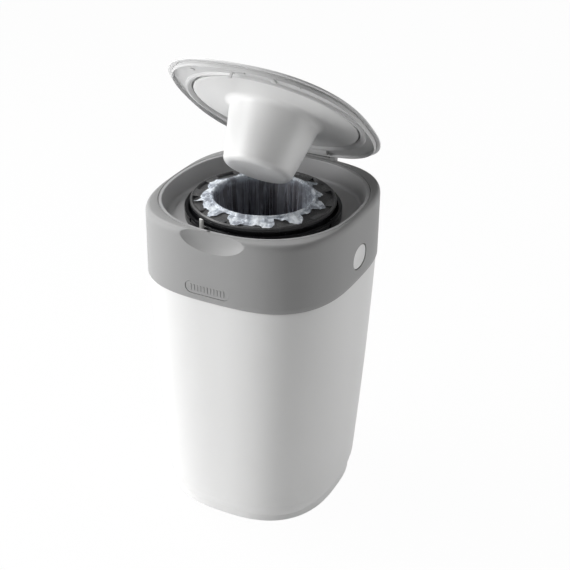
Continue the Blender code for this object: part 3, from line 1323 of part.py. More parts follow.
def twist_dial(axis):
    flange_low = lid_height(1) + CLEAR
    top = flange_low + DIAL_FLANGE_THICK
    bowl = DIAL_BODY_RADIUS - DIAL_WALL
    profile = [
        (DIAL_BODY_RADIUS - DIAL_ROUND * 2, DIAL_LOW),
        (DIAL_BODY_RADIUS, DIAL_LOW + DIAL_ROUND * 2),
        (DIAL_BODY_RADIUS, flange_low),
        (DIAL_FLANGE_RADIUS, flange_low),
        (DIAL_FLANGE_RADIUS, top - DIAL_ROUND),
        (DIAL_FLANGE_RADIUS - DIAL_ROUND, top),
        (bowl + DIAL_ROUND, top),
        (bowl, top - DIAL_ROUND),
        (bowl - DIAL_ROUND, DIAL_FLOOR_TOP),
    ]
    mesh = new()
    add_profile(mesh, [(circle(radius), height) for radius, height in profile])
    dial = make("twist_dial", mesh, "grey_plastic", axis)
    bar = new()
    reach = DIAL_BODY_RADIUS - DIAL_WALL / 2
    add_block(bar, (-reach, AXIS_Y - DIAL_BAR_HALF, DIAL_FLOOR_TOP - DIAL_FLOOR / 2),
              (reach, AXIS_Y + DIAL_BAR_HALF, top - DIAL_ROUND / 2))
    boolean(dial, bar, "UNION")
    cuts = new()
    low = (DIAL_SCREW_RADIUS, 0, DIAL_LOW - OVERRUN)
    high = (DIAL_SCREW_RADIUS, 0, DIAL_FLOOR_TOP + OVERRUN)
    for angle in DIAL_SCREW_ANGLES:
        add_rod(cuts, low, high, SCREW_RADIUS + SCREW_HOLE_CLEAR, TINY_SIDES, turned(angle))
    boolean(dial, cuts, "DIFFERENCE")


def dial_screws(axis):
    for number, angle in enumerate(DIAL_SCREW_ANGLES, 1):
        mesh = new()
        point = (DIAL_SCREW_RADIUS, 0, DIAL_FLOOR_TOP + CLEAR)
        add_screw(mesh, point, DIAL_SCREW_LENGTH, up=-1, place=turned(angle))
        make(f"dial_screw_{number}", mesh, "steel", axis)


def build():
    for item in list(bpy.data.objects):
        bpy.data.objects.remove(item)
    base_cover()
    foot_pads()
    base_screws()
    tub_shell()
    collar_shell()
    inner_tray()
    cassette_well()
    unit_screws()
    hinge_pin()
    for side, word in ((-1, "left"), (1, "right")):
        latch_tongue(side, f"latch_tongue_{word}")
        button(side, f"button_{word}")
    click_pawl()
    jaws()
    cutter()
    cassette_axis = axis_empty("cassette_axis", (0, AXIS_Y, TABLE_BOTTOM))
    turntable(cassette_axis)
    cassette_body(cassette_axis)
    cassette_top_ring(cassette_axis)
    film(cassette_axis)
    lid_axis = axis_empty("lid_axis", HINGE)
    lid_shell(lid_axis)
    lid_liner(lid_axis)
    lid_seal(lid_axis)
    lid_catch(lid_axis)
    hinge_washers(lid_axis)
    dial_bearing(lid_axis)
    dial_axis = axis_empty("dial_axis", (0, AXIS_Y, LID_BOTTOM), lid_axis)
    plunger(dial_axis)
    twist_dial(dial_axis)
    dial_screws(dial_axis)
    lid_axis.rotation_euler.x = -math.radians(LID_OPEN)


build()
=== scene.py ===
# %% [markdown]
# # A nappy bin with a film cassette
#
# The bin stands open. A white bucket carries a grey upper unit, a black cassette ring sits
# in the unit's tray, thin film hangs down its throat, and the lid holds a plunger that
# pushes a nappy into the film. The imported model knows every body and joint, so this script
# only has to dress those bodies in their finished surfaces.

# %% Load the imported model
import json
import math
import random

import bmesh
import bpy
from mathutils import Matrix, Vector, noise


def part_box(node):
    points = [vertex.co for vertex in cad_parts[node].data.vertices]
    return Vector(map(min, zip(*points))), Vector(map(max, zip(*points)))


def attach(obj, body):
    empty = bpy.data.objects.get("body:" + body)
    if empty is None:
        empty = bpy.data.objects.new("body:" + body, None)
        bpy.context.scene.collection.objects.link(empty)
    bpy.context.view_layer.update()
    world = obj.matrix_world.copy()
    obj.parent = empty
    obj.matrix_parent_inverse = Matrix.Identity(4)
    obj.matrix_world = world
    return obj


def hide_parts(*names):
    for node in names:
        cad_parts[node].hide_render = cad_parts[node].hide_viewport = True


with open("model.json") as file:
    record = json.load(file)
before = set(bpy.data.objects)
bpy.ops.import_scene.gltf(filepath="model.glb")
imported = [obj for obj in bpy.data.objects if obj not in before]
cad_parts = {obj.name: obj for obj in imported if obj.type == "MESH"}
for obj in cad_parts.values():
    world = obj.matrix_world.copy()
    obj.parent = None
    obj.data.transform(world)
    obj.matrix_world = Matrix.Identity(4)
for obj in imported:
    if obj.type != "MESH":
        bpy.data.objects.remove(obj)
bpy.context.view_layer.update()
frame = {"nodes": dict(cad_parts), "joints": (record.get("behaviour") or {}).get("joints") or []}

# %% [markdown]
# ## Outlines
#
# Seen from above, the bucket, the collar and the lid are rounded rectangles whose corners
# melt into their sides. A superellipse draws such an outline from two half sizes and a
# power, and its centre may lie a little in front of the origin. A power of 2 is a circle.

# %% Outlines seen from above
table_low, table_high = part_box("turntable")
AXIS_Y = (table_low.y + table_high.y) / 2
AXIS = Vector((0, AXIS_Y, 0))
BIG_SIDES = 240


def grown(outline, amount):
    """The outline moved outwards, or inwards where the amount is negative."""
    half_x, half_y, power, centre_y = outline
    return half_x + amount, half_y + amount, power, centre_y


def between(first, second, share):
    return tuple(a + (b - a) * share for a, b in zip(first, second))


def circle(radius):
    return radius, radius, 2, AXIS_Y


def outline_point(outline, angle, height):
    half_x, half_y, power, centre_y = outline
    cosine, sine = math.cos(angle), math.sin(angle)
    reach = (abs(cosine / half_x) ** power + abs(sine / half_y) ** power) ** (-1 / power)
    return Vector((reach * cosine, centre_y + reach * sine, height))


def outline_ring(outline, height, sides=BIG_SIDES):
    return [outline_point(outline, 2 * math.pi * step / sides, height) for step in range(sides)]


collar_low, collar_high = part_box("collar_shell")
COLLAR = (collar_high.x, -collar_low.y, 3.0, 0)
FOOT = (0.0915, 0.0993, 2.98, 0)
BAND = (0.1079, 0.1138, 2.6, 0)
MOUTH = (0.1142, 0.1182, 2.33, 0)
LID = (0.12, 0.1324, 2.55, -0.005)
print("collar outline", [round(value, 4) for value in COLLAR], "cassette axis at y", round(AXIS_Y, 4))

# %% [markdown]
# ## From profiles to skins
#
# A moulded shell is a profile carried round an outline. Its corners are never quite sharp,
# so each corner of a profile may be given a radius, and an arc takes its place. A piece
# that is carried round a circle is a turned one. Holes and windows are cut afterwards with
# exact Booleans, and the result is stored as a plain mesh.

# %% Profiles and skins
ARC_STEPS = 5
SHARP_ANGLE = math.radians(32)
CUT_SPARE = 0.002


def arc(centre, radius, start, end, steps):
    """Points on an arc from a start angle to an end angle, in degrees."""
    points = []
    for step in range(steps + 1):
        angle = math.radians(start + (end - start) * step / steps)
        points.append((centre[0] + radius * math.cos(angle), centre[1] + radius * math.sin(angle)))
    return points


def softened(points, closed=True):
    """A profile whose corners with a third value are rounded to that radius."""
    result = []
    count = len(points)
    for index, corner in enumerate(points):
        here = Vector(corner[:2])
        inner = closed or 0 < index < count - 1
        if len(corner) < 3 or not inner:
            result.append(tuple(here))
            continue
        to_before = Vector(points[index - 1][:2]) - here
        to_after = Vector(points[(index + 1) % count][:2]) - here
        half_turn = to_before.angle(to_after) / 2
        reach = min(corner[2] / math.tan(half_turn), to_before.length * 0.49, to_after.length * 0.49)
        start = here + to_before.normalized() * reach
        end = here + to_after.normalized() * reach
        for step in range(ARC_STEPS + 1):
            share = step / ARC_STEPS
            pull = 2 * share * (1 - share)
            result.append(tuple(start * (1 - share) ** 2 + here * pull + end * share ** 2))
    return result


def fill_rings(mesh, rings, closed):
    """Faces over rings of points: a loop of rings if closed, otherwise with two end caps."""
    made = [[mesh.verts.new(point) for point in ring] for ring in rings]
    pairs = list(zip(made, made[1:])) + ([(made[-1], made[0])] if closed else [])
    faces = []
    for low, high in pairs:
        for index in range(len(low)):
            after = (index + 1) % len(low)
            faces.append(mesh.faces.new((low[index], low[after], high[after], high[index])))
    if not closed:
        faces += [mesh.faces.new(made[0]), mesh.faces.new(made[-1])]
    bmesh.ops.recalc_face_normals(mesh, faces=faces)


def skin(name, rings, closed=True, place=None):
    """An object from outline and height pairs."""
    mesh = bmesh.new()
    fill_rings(mesh, [outline_ring(outline, height) for outline, height in rings], closed)
    return object_from(name, mesh, place)


def quarter(outline, height, inwards, rise, steps):
    """A quarter turn: the outline draws in by one amount while it comes up to this height."""
    angles = [math.pi / 2 * step / steps for step in range(steps + 1)]
    return [(grown(outline, -inwards * (1 - math.cos(angle))), height - rise * (1 - math.sin(angle)))
            for angle in angles]


def object_from(name, mesh, place=None):
    """A smooth object at the origin, with its place in its mesh."""
    if place is not None:
        bmesh.ops.transform(mesh, matrix=place, verts=mesh.verts)
    data = bpy.data.meshes.new(name)
    mesh.to_mesh(data)
    mesh.free()
    piece = bpy.data.objects.new(name, data)
    bpy.context.scene.collection.objects.link(piece)
    data.shade_smooth()
    data.set_sharp_from_angle(angle=SHARP_ANGLE)
    return piece


def loft(profile, outline=None, closed=True, sides=BIG_SIDES):
    """A skin from amount and height pairs: amounts grow the outline, or are radii without one."""
    mesh = bmesh.new()
    rings = []
    for amount, height in profile:
        shape = grown(outline, amount) if outline else circle(amount)
        rings.append(outline_ring(shape, height, sides))
    fill_rings(mesh, rings, closed)
    return mesh


def rod(mesh, start, end, radius, sides=48):
    start, end = Vector(start), Vector(end)
    turn = (end - start).to_track_quat("Z", "Y").to_matrix()
    angles = [2 * math.pi * step / sides for step in range(sides)]
    rings = [[centre + turn @ Vector((radius * math.cos(angle), radius * math.sin(angle), 0))
              for angle in angles] for centre in (start, end)]
    fill_rings(mesh, rings, closed=False)


def block(mesh, low, high, place=None):
    place = place or Matrix()
    corners = [(low[0], low[1]), (high[0], low[1]), (high[0], high[1]), (low[0], high[1])]
    rings = [[place @ Vector((x, y, z)) for x, y in corners] for z in (low[2], high[2])]
    fill_rings(mesh, rings, closed=False)


def slab(mesh, points, low, high):
    """A flat outline in Y and Z, stretched along X from low to high."""
    fill_rings(mesh, [[Vector((x, y, z)) for y, z in points] for x in (low, high)], closed=False)


def turned(degrees):
    """A place in which +X points away from the cassette's axis at this angle."""
    return Matrix.Translation(AXIS) @ Matrix.Rotation(math.radians(degrees), 4, "Z")


def plain(piece):
    """The piece with its modifiers worked into its mesh."""
    graph = bpy.context.evaluated_depsgraph_get()
    data = bpy.data.meshes.new_from_object(piece.evaluated_get(graph))
    piece.modifiers.clear()
    piece.data = data
    data.name = piece.name
    return piece


def boolean(piece, mesh, operation):
    tool = object_from(f"{piece.name}_tool", mesh)
    step = piece.modifiers.new("boolean", "BOOLEAN")
    step.operation = operation
    step.object = tool
    step.use_self = operation != "INTERSECT"
    plain(piece)
    bpy.data.objects.remove(tool)
    piece.data.shade_smooth()
    piece.data.set_sharp_from_angle(angle=SHARP_ANGLE)
    return piece


def seat(piece, finish, body, *nodes):
    """Gives the piece its material, puts it on its body, and hides the imported parts that it stands for."""
    piece.data.materials.clear()
    piece.data.materials.append(finish)
    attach(piece, body)
    if nodes:
        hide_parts(*nodes)
    print(piece.name, "on", body, "with", len(piece.data.polygons), "faces")
    return piece


# %% [markdown]
# ## Shared surface effects
#
# Injection-moulded plastic is never perfectly flat in colour or gloss. It has a fine grain
# from the tool, a slow unevenness of gloss, a little dust on what faces up, and paler edges
# where hands rub. These effects are node groups, so that each plastic can take them in its
# own strength. They read the object's own coordinates and put out plain masks and heights.

# %% Node helpers
def node(tree, kind, inputs=None, **settings):
    """A node with these settings. Its inputs take values, sockets or lists of sockets."""
    made = tree.nodes.new(kind)
    for label, value in settings.items():
        setattr(made, label, value)
    for label, value in (inputs or {}).items():
        for item in value if isinstance(value, list) else [value]:
            if isinstance(item, bpy.types.NodeSocket):
                tree.links.new(item, made.inputs[label])
            else:
                made.inputs[label].default_value = item
    return made


def maths(tree, operation, first, second, clamp=False):
    """A maths node whose inputs are numbers or sockets."""
    inputs = {0: first, 1: second}
    return node(tree, "ShaderNodeMath", inputs, operation=operation, use_clamp=clamp).outputs[0]


def noise_value(tree, vector, scale, detail=2.0, roughness=0.5):
    inputs = {"Vector": vector, "Scale": scale, "Detail": detail, "Roughness": roughness}
    return node(tree, "ShaderNodeTexNoise", inputs).outputs["Fac"]


def smooth_step(tree, value, low, high):
    """0 below low, 1 above high, with a soft change between them."""
    inputs = {"Value": value, "From Min": low, "From Max": high}
    return node(tree, "ShaderNodeMapRange", inputs, interpolation_type="SMOOTHSTEP").outputs["Result"]


def mixed(tree, kind, share, first, second):
    """The first value where the share is 0 and the second where it is 1."""
    inputs = {"Factor": share, "A": first, "B": second}
    return node(tree, "ShaderNodeMix", inputs, data_type=kind).outputs["Result"]


def bumped(tree, shader, height, strength, distance):
    """Lets a height tilt the normals that the shader sees."""
    bump = node(tree, "ShaderNodeBump", {"Height": height, "Strength": strength, "Distance": distance})
    tree.links.new(bump.outputs["Normal"], shader.inputs["Normal"])


def new_group(name, inputs, outputs):
    """A node group of plain values, with its entry, its exit and the object's coordinates."""
    group = bpy.data.node_groups.new(name, "ShaderNodeTree")
    for label, value in inputs:
        socket = group.interface.new_socket(label, in_out="INPUT", socket_type="NodeSocketFloat")
        socket.default_value = value
    for label in outputs:
        group.interface.new_socket(label, in_out="OUTPUT", socket_type="NodeSocketFloat")
    given, leave = group.nodes.new("NodeGroupInput").outputs, group.nodes.new("NodeGroupOutput")
    return group, given, leave, node(group, "ShaderNodeTexCoord").outputs["Object"]


def new_material(name, slot):
    """A material that holds a slot name, with its tree and its shader."""
    made = bpy.data.materials.new(name)
    made.use_nodes = True
    made["slot"] = slot
    return made, made.node_tree, made.node_tree.nodes["Principled BSDF"]


# %% Moulded grain: a fine height and a slow change of gloss
GRAIN_FINE_RATIO = 2.7
GLOSS_PATCH_SCALE = 14.0
GRAIN, given, leave, spot = new_group("moulded_grain", [("Scale", 1400.0)], ["Height", "Gloss change"])
coarse = noise_value(GRAIN, spot, given["Scale"], 3.0, 0.6)
fine = noise_value(GRAIN, spot, maths(GRAIN, "MULTIPLY", given["Scale"], GRAIN_FINE_RATIO), 1.0)
GRAIN.links.new(maths(GRAIN, "ADD", coarse, fine), leave.inputs["Height"])
patches = noise_value(GRAIN, spot, GLOSS_PATCH_SCALE, 4.0, 0.6)
GRAIN.links.new(maths(GRAIN, "SUBTRACT", patches, 0.5), leave.inputs["Gloss change"])

# %% Settled dust: a broken veil on what faces up
DUST_SPECK_SCALE = 900.0
DUST_PATCH_SCALE = 22.0
DUST_PATCH_SHARE = 0.4
DUST, given, leave, spot = new_group("settled_dust", [("Amount", 0.1)], ["Dust"])
normal = node(DUST, "ShaderNodeNewGeometry").outputs["Normal"]
facing = node(DUST, "ShaderNodeSeparateXYZ", {0: normal}).outputs["Z"]
upward = smooth_step(DUST, facing, 0.35, 0.95)
specks = smooth_step(DUST, noise_value(DUST, spot, DUST_SPECK_SCALE, 2.0), 0.56, 0.7)
patches = smooth_step(DUST, noise_value(DUST, spot, DUST_PATCH_SCALE, 3.0), 0.35, 0.7)
veil = maths(DUST, "ADD", specks, maths(DUST, "MULTIPLY", patches, DUST_PATCH_SHARE))
veil = maths(DUST, "MULTIPLY", upward, veil)
DUST.links.new(maths(DUST, "MULTIPLY", veil, given["Amount"], True), leave.inputs["Dust"])

# %% Rubbed edges: a paler, duller line where the surface turns sharply outwards
WEAR, given, leave, spot = new_group("rubbed_edges", [("Amount", 0.3), ("Scale", 60.0)], ["Wear"])
sharpness = node(WEAR, "ShaderNodeNewGeometry").outputs["Pointiness"]
edges = smooth_step(WEAR, sharpness, 0.515, 0.60)
broken = smooth_step(WEAR, noise_value(WEAR, spot, given["Scale"], 4.0, 0.65), 0.38, 0.62)
wear = maths(WEAR, "MULTIPLY", maths(WEAR, "MULTIPLY", edges, broken), given["Amount"], True)
WEAR.links.new(wear, leave.inputs["Wear"])
print("shared effects:", [made.name for made in bpy.data.node_groups])

# %% [markdown]
# ## Plastics
#
# The bucket and the plunger are satin white, the collar is a fine-grained mid grey, the tray
# a smoother grey and the lid a pale grey. The cassette is glossy black with a duller plate.
# They differ in colour, gloss and grain but are built alike, so one function makes them all.
# Colours are written as they are, and the lamps stay at a level that shows them about so.

# %% A moulded plastic
DUST_COLOUR = (0.60, 0.59, 0.57, 1)
DUST_DULLS = 0.4
GLOSS_CHANGE = 0.12
GRAIN_DISTANCE = 0.0001


def plastic(name, colour, roughness, grain=1400.0, depth=0.15, dust=0.1, wear=0.15, specular=0.5, slot=None):
    made, tree, shader = new_material(name, slot or name)
    grains = node(tree, "ShaderNodeGroup", {"Scale": grain}, node_tree=GRAIN)
    dusts = node(tree, "ShaderNodeGroup", {"Amount": dust}, node_tree=DUST)
    worn = node(tree, "ShaderNodeGroup", {"Amount": wear}, node_tree=WEAR)
    rubbed = tuple(min(1, value * 1.15 + 0.04) for value in colour)
    paler = mixed(tree, "RGBA", worn.outputs["Wear"], (*colour, 1), (*rubbed, 1))
    dusty = mixed(tree, "RGBA", dusts.outputs["Dust"], paler, DUST_COLOUR)
    tree.links.new(dusty, shader.inputs["Base Color"])
    change = maths(tree, "MULTIPLY", grains.outputs["Gloss change"], GLOSS_CHANGE)
    dull = maths(tree, "MULTIPLY", dusts.outputs["Dust"], DUST_DULLS)
    rough = maths(tree, "ADD", maths(tree, "ADD", change, dull), roughness, True)
    tree.links.new(rough, shader.inputs["Roughness"])
    bumped(tree, shader, grains.outputs["Height"], depth, GRAIN_DISTANCE)
    shader.inputs["Specular IOR Level"].default_value = specular
    return made


WHITE = plastic("white_plastic", (0.84, 0.84, 0.835), 0.38, depth=0.08, wear=0.0, dust=0.04)
GREY = plastic("grey_plastic", (0.355, 0.355, 0.355), 0.46, grain=1700.0, depth=0.22, wear=0.2, specular=0.3)
TRAY = plastic("tray_plastic", (0.46, 0.46, 0.465), 0.36, depth=0.1, wear=0.1, dust=0.16)
LID_PALE = plastic("lid_plastic", (0.70, 0.70, 0.70), 0.34, depth=0.08, wear=0.1, dust=0.05)
LID_WHITE = plastic("plunger_plastic", (0.87, 0.87, 0.865), 0.36, depth=0.08, wear=0.0, dust=0.02,
                    slot="white_plastic")
BLACK = plastic("black_plastic", (0.007, 0.007, 0.008), 0.14, depth=0.04, dust=0.0, wear=0.1, specular=0.3)
DULL_BLACK = plastic("plate_plastic", (0.045, 0.045, 0.047), 0.32, depth=0.10, dust=0.25, wear=0.25,
                     slot="black_plastic")
PEG = plastic("peg_plastic", (0.62, 0.62, 0.60), 0.42)
print("plastics:", [made.name for made in bpy.data.materials if made.get("slot")])

# %% [markdown]
# ## Steel and rubber
#
# Screws, pins and springs are plain bright steel with fine draw marks. The foot pads and
# the gasket are rubber: dark or pale grey, dull, with a soft mottling.

# %% Steel and rubber
def steel(name):
    made, tree, shader = new_material(name, name)
    shader.inputs["Metallic"].default_value = 1.0
    shader.inputs["Base Color"].default_value = (0.62, 0.62, 0.63, 1)
    grains = node(tree, "ShaderNodeGroup", {"Scale": 2600.0}, node_tree=GRAIN)
    change = maths(tree, "MULTIPLY", grains.outputs["Gloss change"], 0.3)
    tree.links.new(maths(tree, "ADD", change, 0.28), shader.inputs["Roughness"])
    bumped(tree, shader, grains.outputs["Height"], 0.1, GRAIN_DISTANCE / 2)
    return made


STEEL = steel("steel")
RUBBER = plastic("rubber", (0.06, 0.06, 0.06), 0.78, grain=500.0, depth=0.5, dust=0.2)
SEAL_RUBBER = plastic("seal_rubber", (0.62, 0.62, 0.62), 0.55, grain=600.0, depth=0.3)
print("steel and rubber ready")

# %% [markdown]
# ## Film
#
# The film is a thin, slightly blue tube. Where it is one layer it is nearly clear, and where it
# is crumpled it turns milky, with hard small glints. Its opacity follows streaks that run
# down the tube, so the material reads a map whose first axis goes round the throat and
# whose second runs along the film. An attribute says how milky each point is. On the
# right-back side of the hanging film it also holds a painted reflection, which makes the film paler and less
# clear there.

# %% A thin crumpled film
def ridged(tree, value, width):
    """1 along the lines where the noise passes its middle, 0 away from them."""
    away = maths(tree, "ABSOLUTE", maths(tree, "SUBTRACT", value, 0.5), 0.0)
    return maths(tree, "SUBTRACT", 1.0, smooth_step(tree, away, 0.0, width), True)


def film_material(name):
    made, tree, shader = new_material(name, name)
    place = node(tree, "ShaderNodeUVMap", uv_map="film").outputs["UV"]
    stretch = node(tree, "ShaderNodeMapping", {"Vector": place, "Scale": (46.0, 1.1, 1.0)})
    streaks = noise_value(tree, stretch.outputs["Vector"], 1.0, 4.0, 0.65)
    spot = node(tree, "ShaderNodeTexCoord").outputs["Object"]
    crumple = noise_value(tree, spot, 130.0)
    creases = maths(tree, "MULTIPLY", ridged(tree, crumple, 0.045), 0.38)
    clouds = maths(tree, "MULTIPLY", smooth_step(tree, noise_value(tree, spot, 62.0), 0.40, 0.62), 0.62)
    spread = maths(tree, "ADD", maths(tree, "ADD", clouds, creases, True), 0.26, True)
    lines = maths(tree, "MULTIPLY", ridged(tree, streaks, 0.035), 0.20)
    bands = maths(tree, "MULTIPLY", smooth_step(tree, streaks, 0.40, 0.70), 0.16)
    drawn = maths(tree, "ADD", bands, lines, True)
    # This attribute is the film's milkiness, and on the right-back side of the throat it is also a painted
    # reflection
    milky = node(tree, "ShaderNodeAttribute", attribute_name="milky").outputs["Fac"]
    light = mixed(tree, "FLOAT", milky, drawn, spread)
    tint = node(tree, "ShaderNodeValToRGB", {"Fac": light})
    tint.color_ramp.elements[0].color = (0.21, 0.20, 0.22, 1)
    tint.color_ramp.elements[1].color = (0.86, 0.90, 0.94, 1)
    tint.color_ramp.elements.new(0.45).color = (0.50, 0.55, 0.62, 1)
    tree.links.new(tint.outputs["Color"], shader.inputs["Base Color"])
    veil = maths(tree, "ADD", maths(tree, "MULTIPLY", light, 0.34), 0.66)
    veil = maths(tree, "ADD", veil, maths(tree, "MULTIPLY", milky, 0.12), True)
    tree.links.new(veil, shader.inputs["Alpha"])
    height = maths(tree, "ADD", crumple, maths(tree, "MULTIPLY", streaks, 0.6))
    bumped(tree, shader, height, 0.35, 0.0006)
    shader.inputs["Roughness"].default_value = 0.24
    return made


FILM = film_material("film")
print("film material reads the map", "film", "and the attribute", "milky")

# %% [markdown]
# ## Bucket
#
# The bucket widens from the base band to the collar in an almost straight line with a barely
# visible belly. Its lower edge overlaps the band with a small step that throws a fine line
# round the foot, and its neck slips up inside the collar. Windows in the neck take the hooks
# of the two latch tongues, so they are cut through.

# %% Bucket sizes
tub_low, tub_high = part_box("tub_shell")
band_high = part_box("base_cover")[1].z
CLEAR = 0.0003
TUB_STEP = 0.001
TUB_WALL = 0.0024
TUB_BULGE = 0.0015
TUB_FLOOR = 0.0025
COLLAR_STEP = 0.0013
COLLAR_WALL = 0.0025
NECK_WALL = 0.0021
NECK_CLEAR = 0.001
SEAM_GAP = 0.0005
TUB_EDGE = band_high + CLEAR
SHOULDER = collar_low.z - SEAM_GAP
NECK_TOP = tub_high.z
SHOULDER_OUTLINE = grown(COLLAR, -COLLAR_STEP)
NECK = grown(COLLAR, -COLLAR_WALL - NECK_CLEAR)
TUB_EDGE_OUTLINE = grown(BAND, TUB_STEP)
WALL_RINGS = 30
EDGE_ROUND = 0.0007


def wall_outline(share):
    """Outline of the bucket's wall, from the band at 0 to the shoulder at 1."""
    return grown(between(TUB_EDGE_OUTLINE, SHOULDER_OUTLINE, share), TUB_BULGE * math.sin(math.pi * share))


print("bucket wall from", round(TUB_EDGE, 4), "to", round(SHOULDER, 4))

# %% Bucket wall, neck and floor
WINDOW_HALF_WIDTH = 0.0085
WINDOW_DROP = 0.0015
WINDOW_HEIGHT = 0.0055
SPIGOT = grown(BAND, -0.0042)


def bucket():
    shares = [step / WALL_RINGS for step in range(WALL_RINGS + 1)]
    wall = [(wall_outline(share), TUB_EDGE + (SHOULDER - TUB_EDGE) * share) for share in shares]
    turn_in = quarter(wall[0][0], TUB_EDGE, EDGE_ROUND, -EDGE_ROUND, 3)
    turn_out = quarter(wall[-1][0], SHOULDER, EDGE_ROUND, EDGE_ROUND, 3)
    outside = [(SPIGOT, tub_low.z + TUB_FLOOR), (SPIGOT, TUB_EDGE)] + turn_in[::-1] + wall[1:-1] + turn_out
    outside += [(NECK, SHOULDER), (NECK, NECK_TOP - EDGE_ROUND), (grown(NECK, -EDGE_ROUND), NECK_TOP)]
    neck_inside, spigot_inside = grown(NECK, -NECK_WALL), grown(SPIGOT, -TUB_WALL)
    inside = [(neck_inside, NECK_TOP), (neck_inside, SHOULDER - NECK_WALL)]
    inside += [(grown(outline, -TUB_WALL), height) for outline, height in wall[-3:1:-1]]
    inside += [(spigot_inside, TUB_EDGE), (spigot_inside, tub_low.z + TUB_FLOOR * 2)]
    piece = skin("bucket", outside + inside, closed=False)
    windows = bmesh.new()
    top = NECK_TOP - WINDOW_DROP
    for side in (-1, 1):
        ends = sorted((side * (NECK[0] - NECK_WALL - CUT_SPARE), side * (NECK[0] + CUT_SPARE)))
        block(windows, (ends[0], -WINDOW_HALF_WIDTH, top - WINDOW_HEIGHT), (ends[1], WINDOW_HALF_WIDTH, top))
    boolean(piece, windows, "DIFFERENCE")
    return seat(piece, WHITE, "tub", "tub_shell")


bucket()

# %% [markdown]
# ## Base band
#
# The band closes the bucket from below. It draws in to the foot in a quarter wave, so the
# bin seems to float a little. Underneath it has seats for four rubber pads and four screws.

# %% Base band
PAD_PROUD = 0.0008
PAD_X, PAD_Y = 0.055, 0.062
BASE_SCREW_X, BASE_SCREW_Y = 0.035, 0.04
pad_low, pad_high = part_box("foot_pad_1")
PAD_RADIUS = (pad_high.x - pad_low.x) / 2
BASE_WALL = 0.0022
BASE_FLOOR = 0.003
SCREW_HEAD_RADIUS = 0.0031
SCREW_HEAD_THICK = 0.0013
SCREW_RADIUS = 0.0013
HEAD_SEAT = 0.0024
BAND_RINGS = 18
FOUR_CORNERS = [(-1, -1), (-1, 1), (1, -1), (1, 1)]


def band_outline(height):
    share = (height - PAD_PROUD) / (band_high - PAD_PROUD)
    return between(FOOT, BAND, math.sin(math.pi / 2 * min(share, 1)))


def base_band():
    heights = [PAD_PROUD + (band_high - PAD_PROUD) * step / BAND_RINGS for step in range(BAND_RINGS + 1)]
    low_round = [(grown(FOOT, -0.0012), PAD_PROUD), (grown(FOOT, -0.0004), PAD_PROUD + 0.0003)]
    outside = low_round + [(band_outline(height), height) for height in heights[1:]]
    inside = [(grown(band_outline(height), -BASE_WALL), height) for height in heights[:3:-1]]
    inside.append((grown(band_outline(PAD_PROUD + BASE_FLOOR), -BASE_WALL), PAD_PROUD + BASE_FLOOR))
    piece = skin("base_band", outside + inside, closed=False)
    seats = bmesh.new()
    for side_x, side_y in FOUR_CORNERS:
        for x, y, top, radius in ((PAD_X, PAD_Y, pad_high.z, PAD_RADIUS),
                                  (BASE_SCREW_X, BASE_SCREW_Y, HEAD_SEAT, SCREW_HEAD_RADIUS)):
            x, y = side_x * x, side_y * y
            rod(seats, (x, y, -CUT_SPARE), (x, y, top + CLEAR), radius + CLEAR)
    boolean(piece, seats, "DIFFERENCE")
    return seat(piece, WHITE, "tub", "base_cover")


base_band()

# %% [markdown]
# ## Collar
#
# The grey collar is the widest part. Its rim rolls over softly, and in the middle of the
# front the lid's lifting scoop is pressed in like a thumb mark. The scoop is the inside of
# a flat ball, so a ball is joined as the wall behind it and a smaller one is cut away.
# Lugs for the lid's pin stand on the back with a sill between them, and each side has a
# window for a button. A recess in the front takes a plain plate.

# %% Collar sizes
RIM_Z = 0.4
RIM_ROUND_WIDTH = 0.0046
RIM_ROUND_HEIGHT = 0.009
RIM_THICK = 0.0045
TRAY_SEAM = 0.0042
TRAY_LIP = 0.002
SHELF_WIDTH = 0.0018
SEAM = grown(MOUTH, TRAY_SEAM)
SEAM_ROUND = 0.0005
SCOOP_RADII = (0.05, 0.0155, 0.0215)
SCOOP_CENTRE = Vector((0, collar_low.y - 0.0075, RIM_Z - 0.003))
SCOOP_WALL = 0.0022
CATCH_X = -0.008
SLOT_HALF_WIDTH = 0.002
SLOT_FRONT = -MOUTH[1] - 0.001
SLOT_DEPTH = 0.003
SLOT_HEIGHT = 0.009
hinge = next(joint for joint in frame["joints"] if joint["name"] == "lid_hinge")
HINGE = Vector(hinge["pos_m"])
BARREL_RADIUS = 0.004
BARREL_HALF = 0.0262
WASHER_THICK = 0.0008
LUG_THICK = 0.0062
LUG_HALF_DEPTH = 0.0042
PIN_RADIUS = 0.0015
SILL_HALF_DEPTH = 0.0026
COLLAR_RINGS = 12
print("hinge at", [round(value, 4) for value in HINGE], "opened by", -hinge["range_deg"][0], "degrees")


# %% Collar shell with its scoop, lugs and windows
def ball(centre, radii):
    mesh = bmesh.new()
    place = Matrix.Translation(centre) @ Matrix.Diagonal((*radii, 1)) @ Matrix.Rotation(math.pi / 2, 4, "Y")
    bmesh.ops.create_uvsphere(mesh, u_segments=96, v_segments=64, radius=1, matrix=place)
    return mesh


def scoop_wall():
    """The wall behind the scoop, kept inside the collar."""
    piece = object_from("scoop_wall", ball(SCOOP_CENTRE, [radius + SCOOP_WALL for radius in SCOOP_RADII]))
    low = RIM_Z - RIM_ROUND_HEIGHT - 2 * SCOOP_RADII[2]
    kept = loft([(-COLLAR_WALL / 2, low), (-COLLAR_WALL / 2, RIM_Z - RIM_ROUND_HEIGHT),
                 (-RIM_ROUND_WIDTH, RIM_Z - CLEAR)], COLLAR, closed=False, sides=120)
    boolean(piece, kept, "INTERSECT")
    hole = loft([(CLEAR, low - CUT_SPARE), (CLEAR, RIM_Z + CUT_SPARE)], SEAM, closed=False, sides=120)
    boolean(piece, hole, "DIFFERENCE")
    mesh = bmesh.new()
    mesh.from_mesh(piece.data)
    bpy.data.objects.remove(piece)
    return mesh


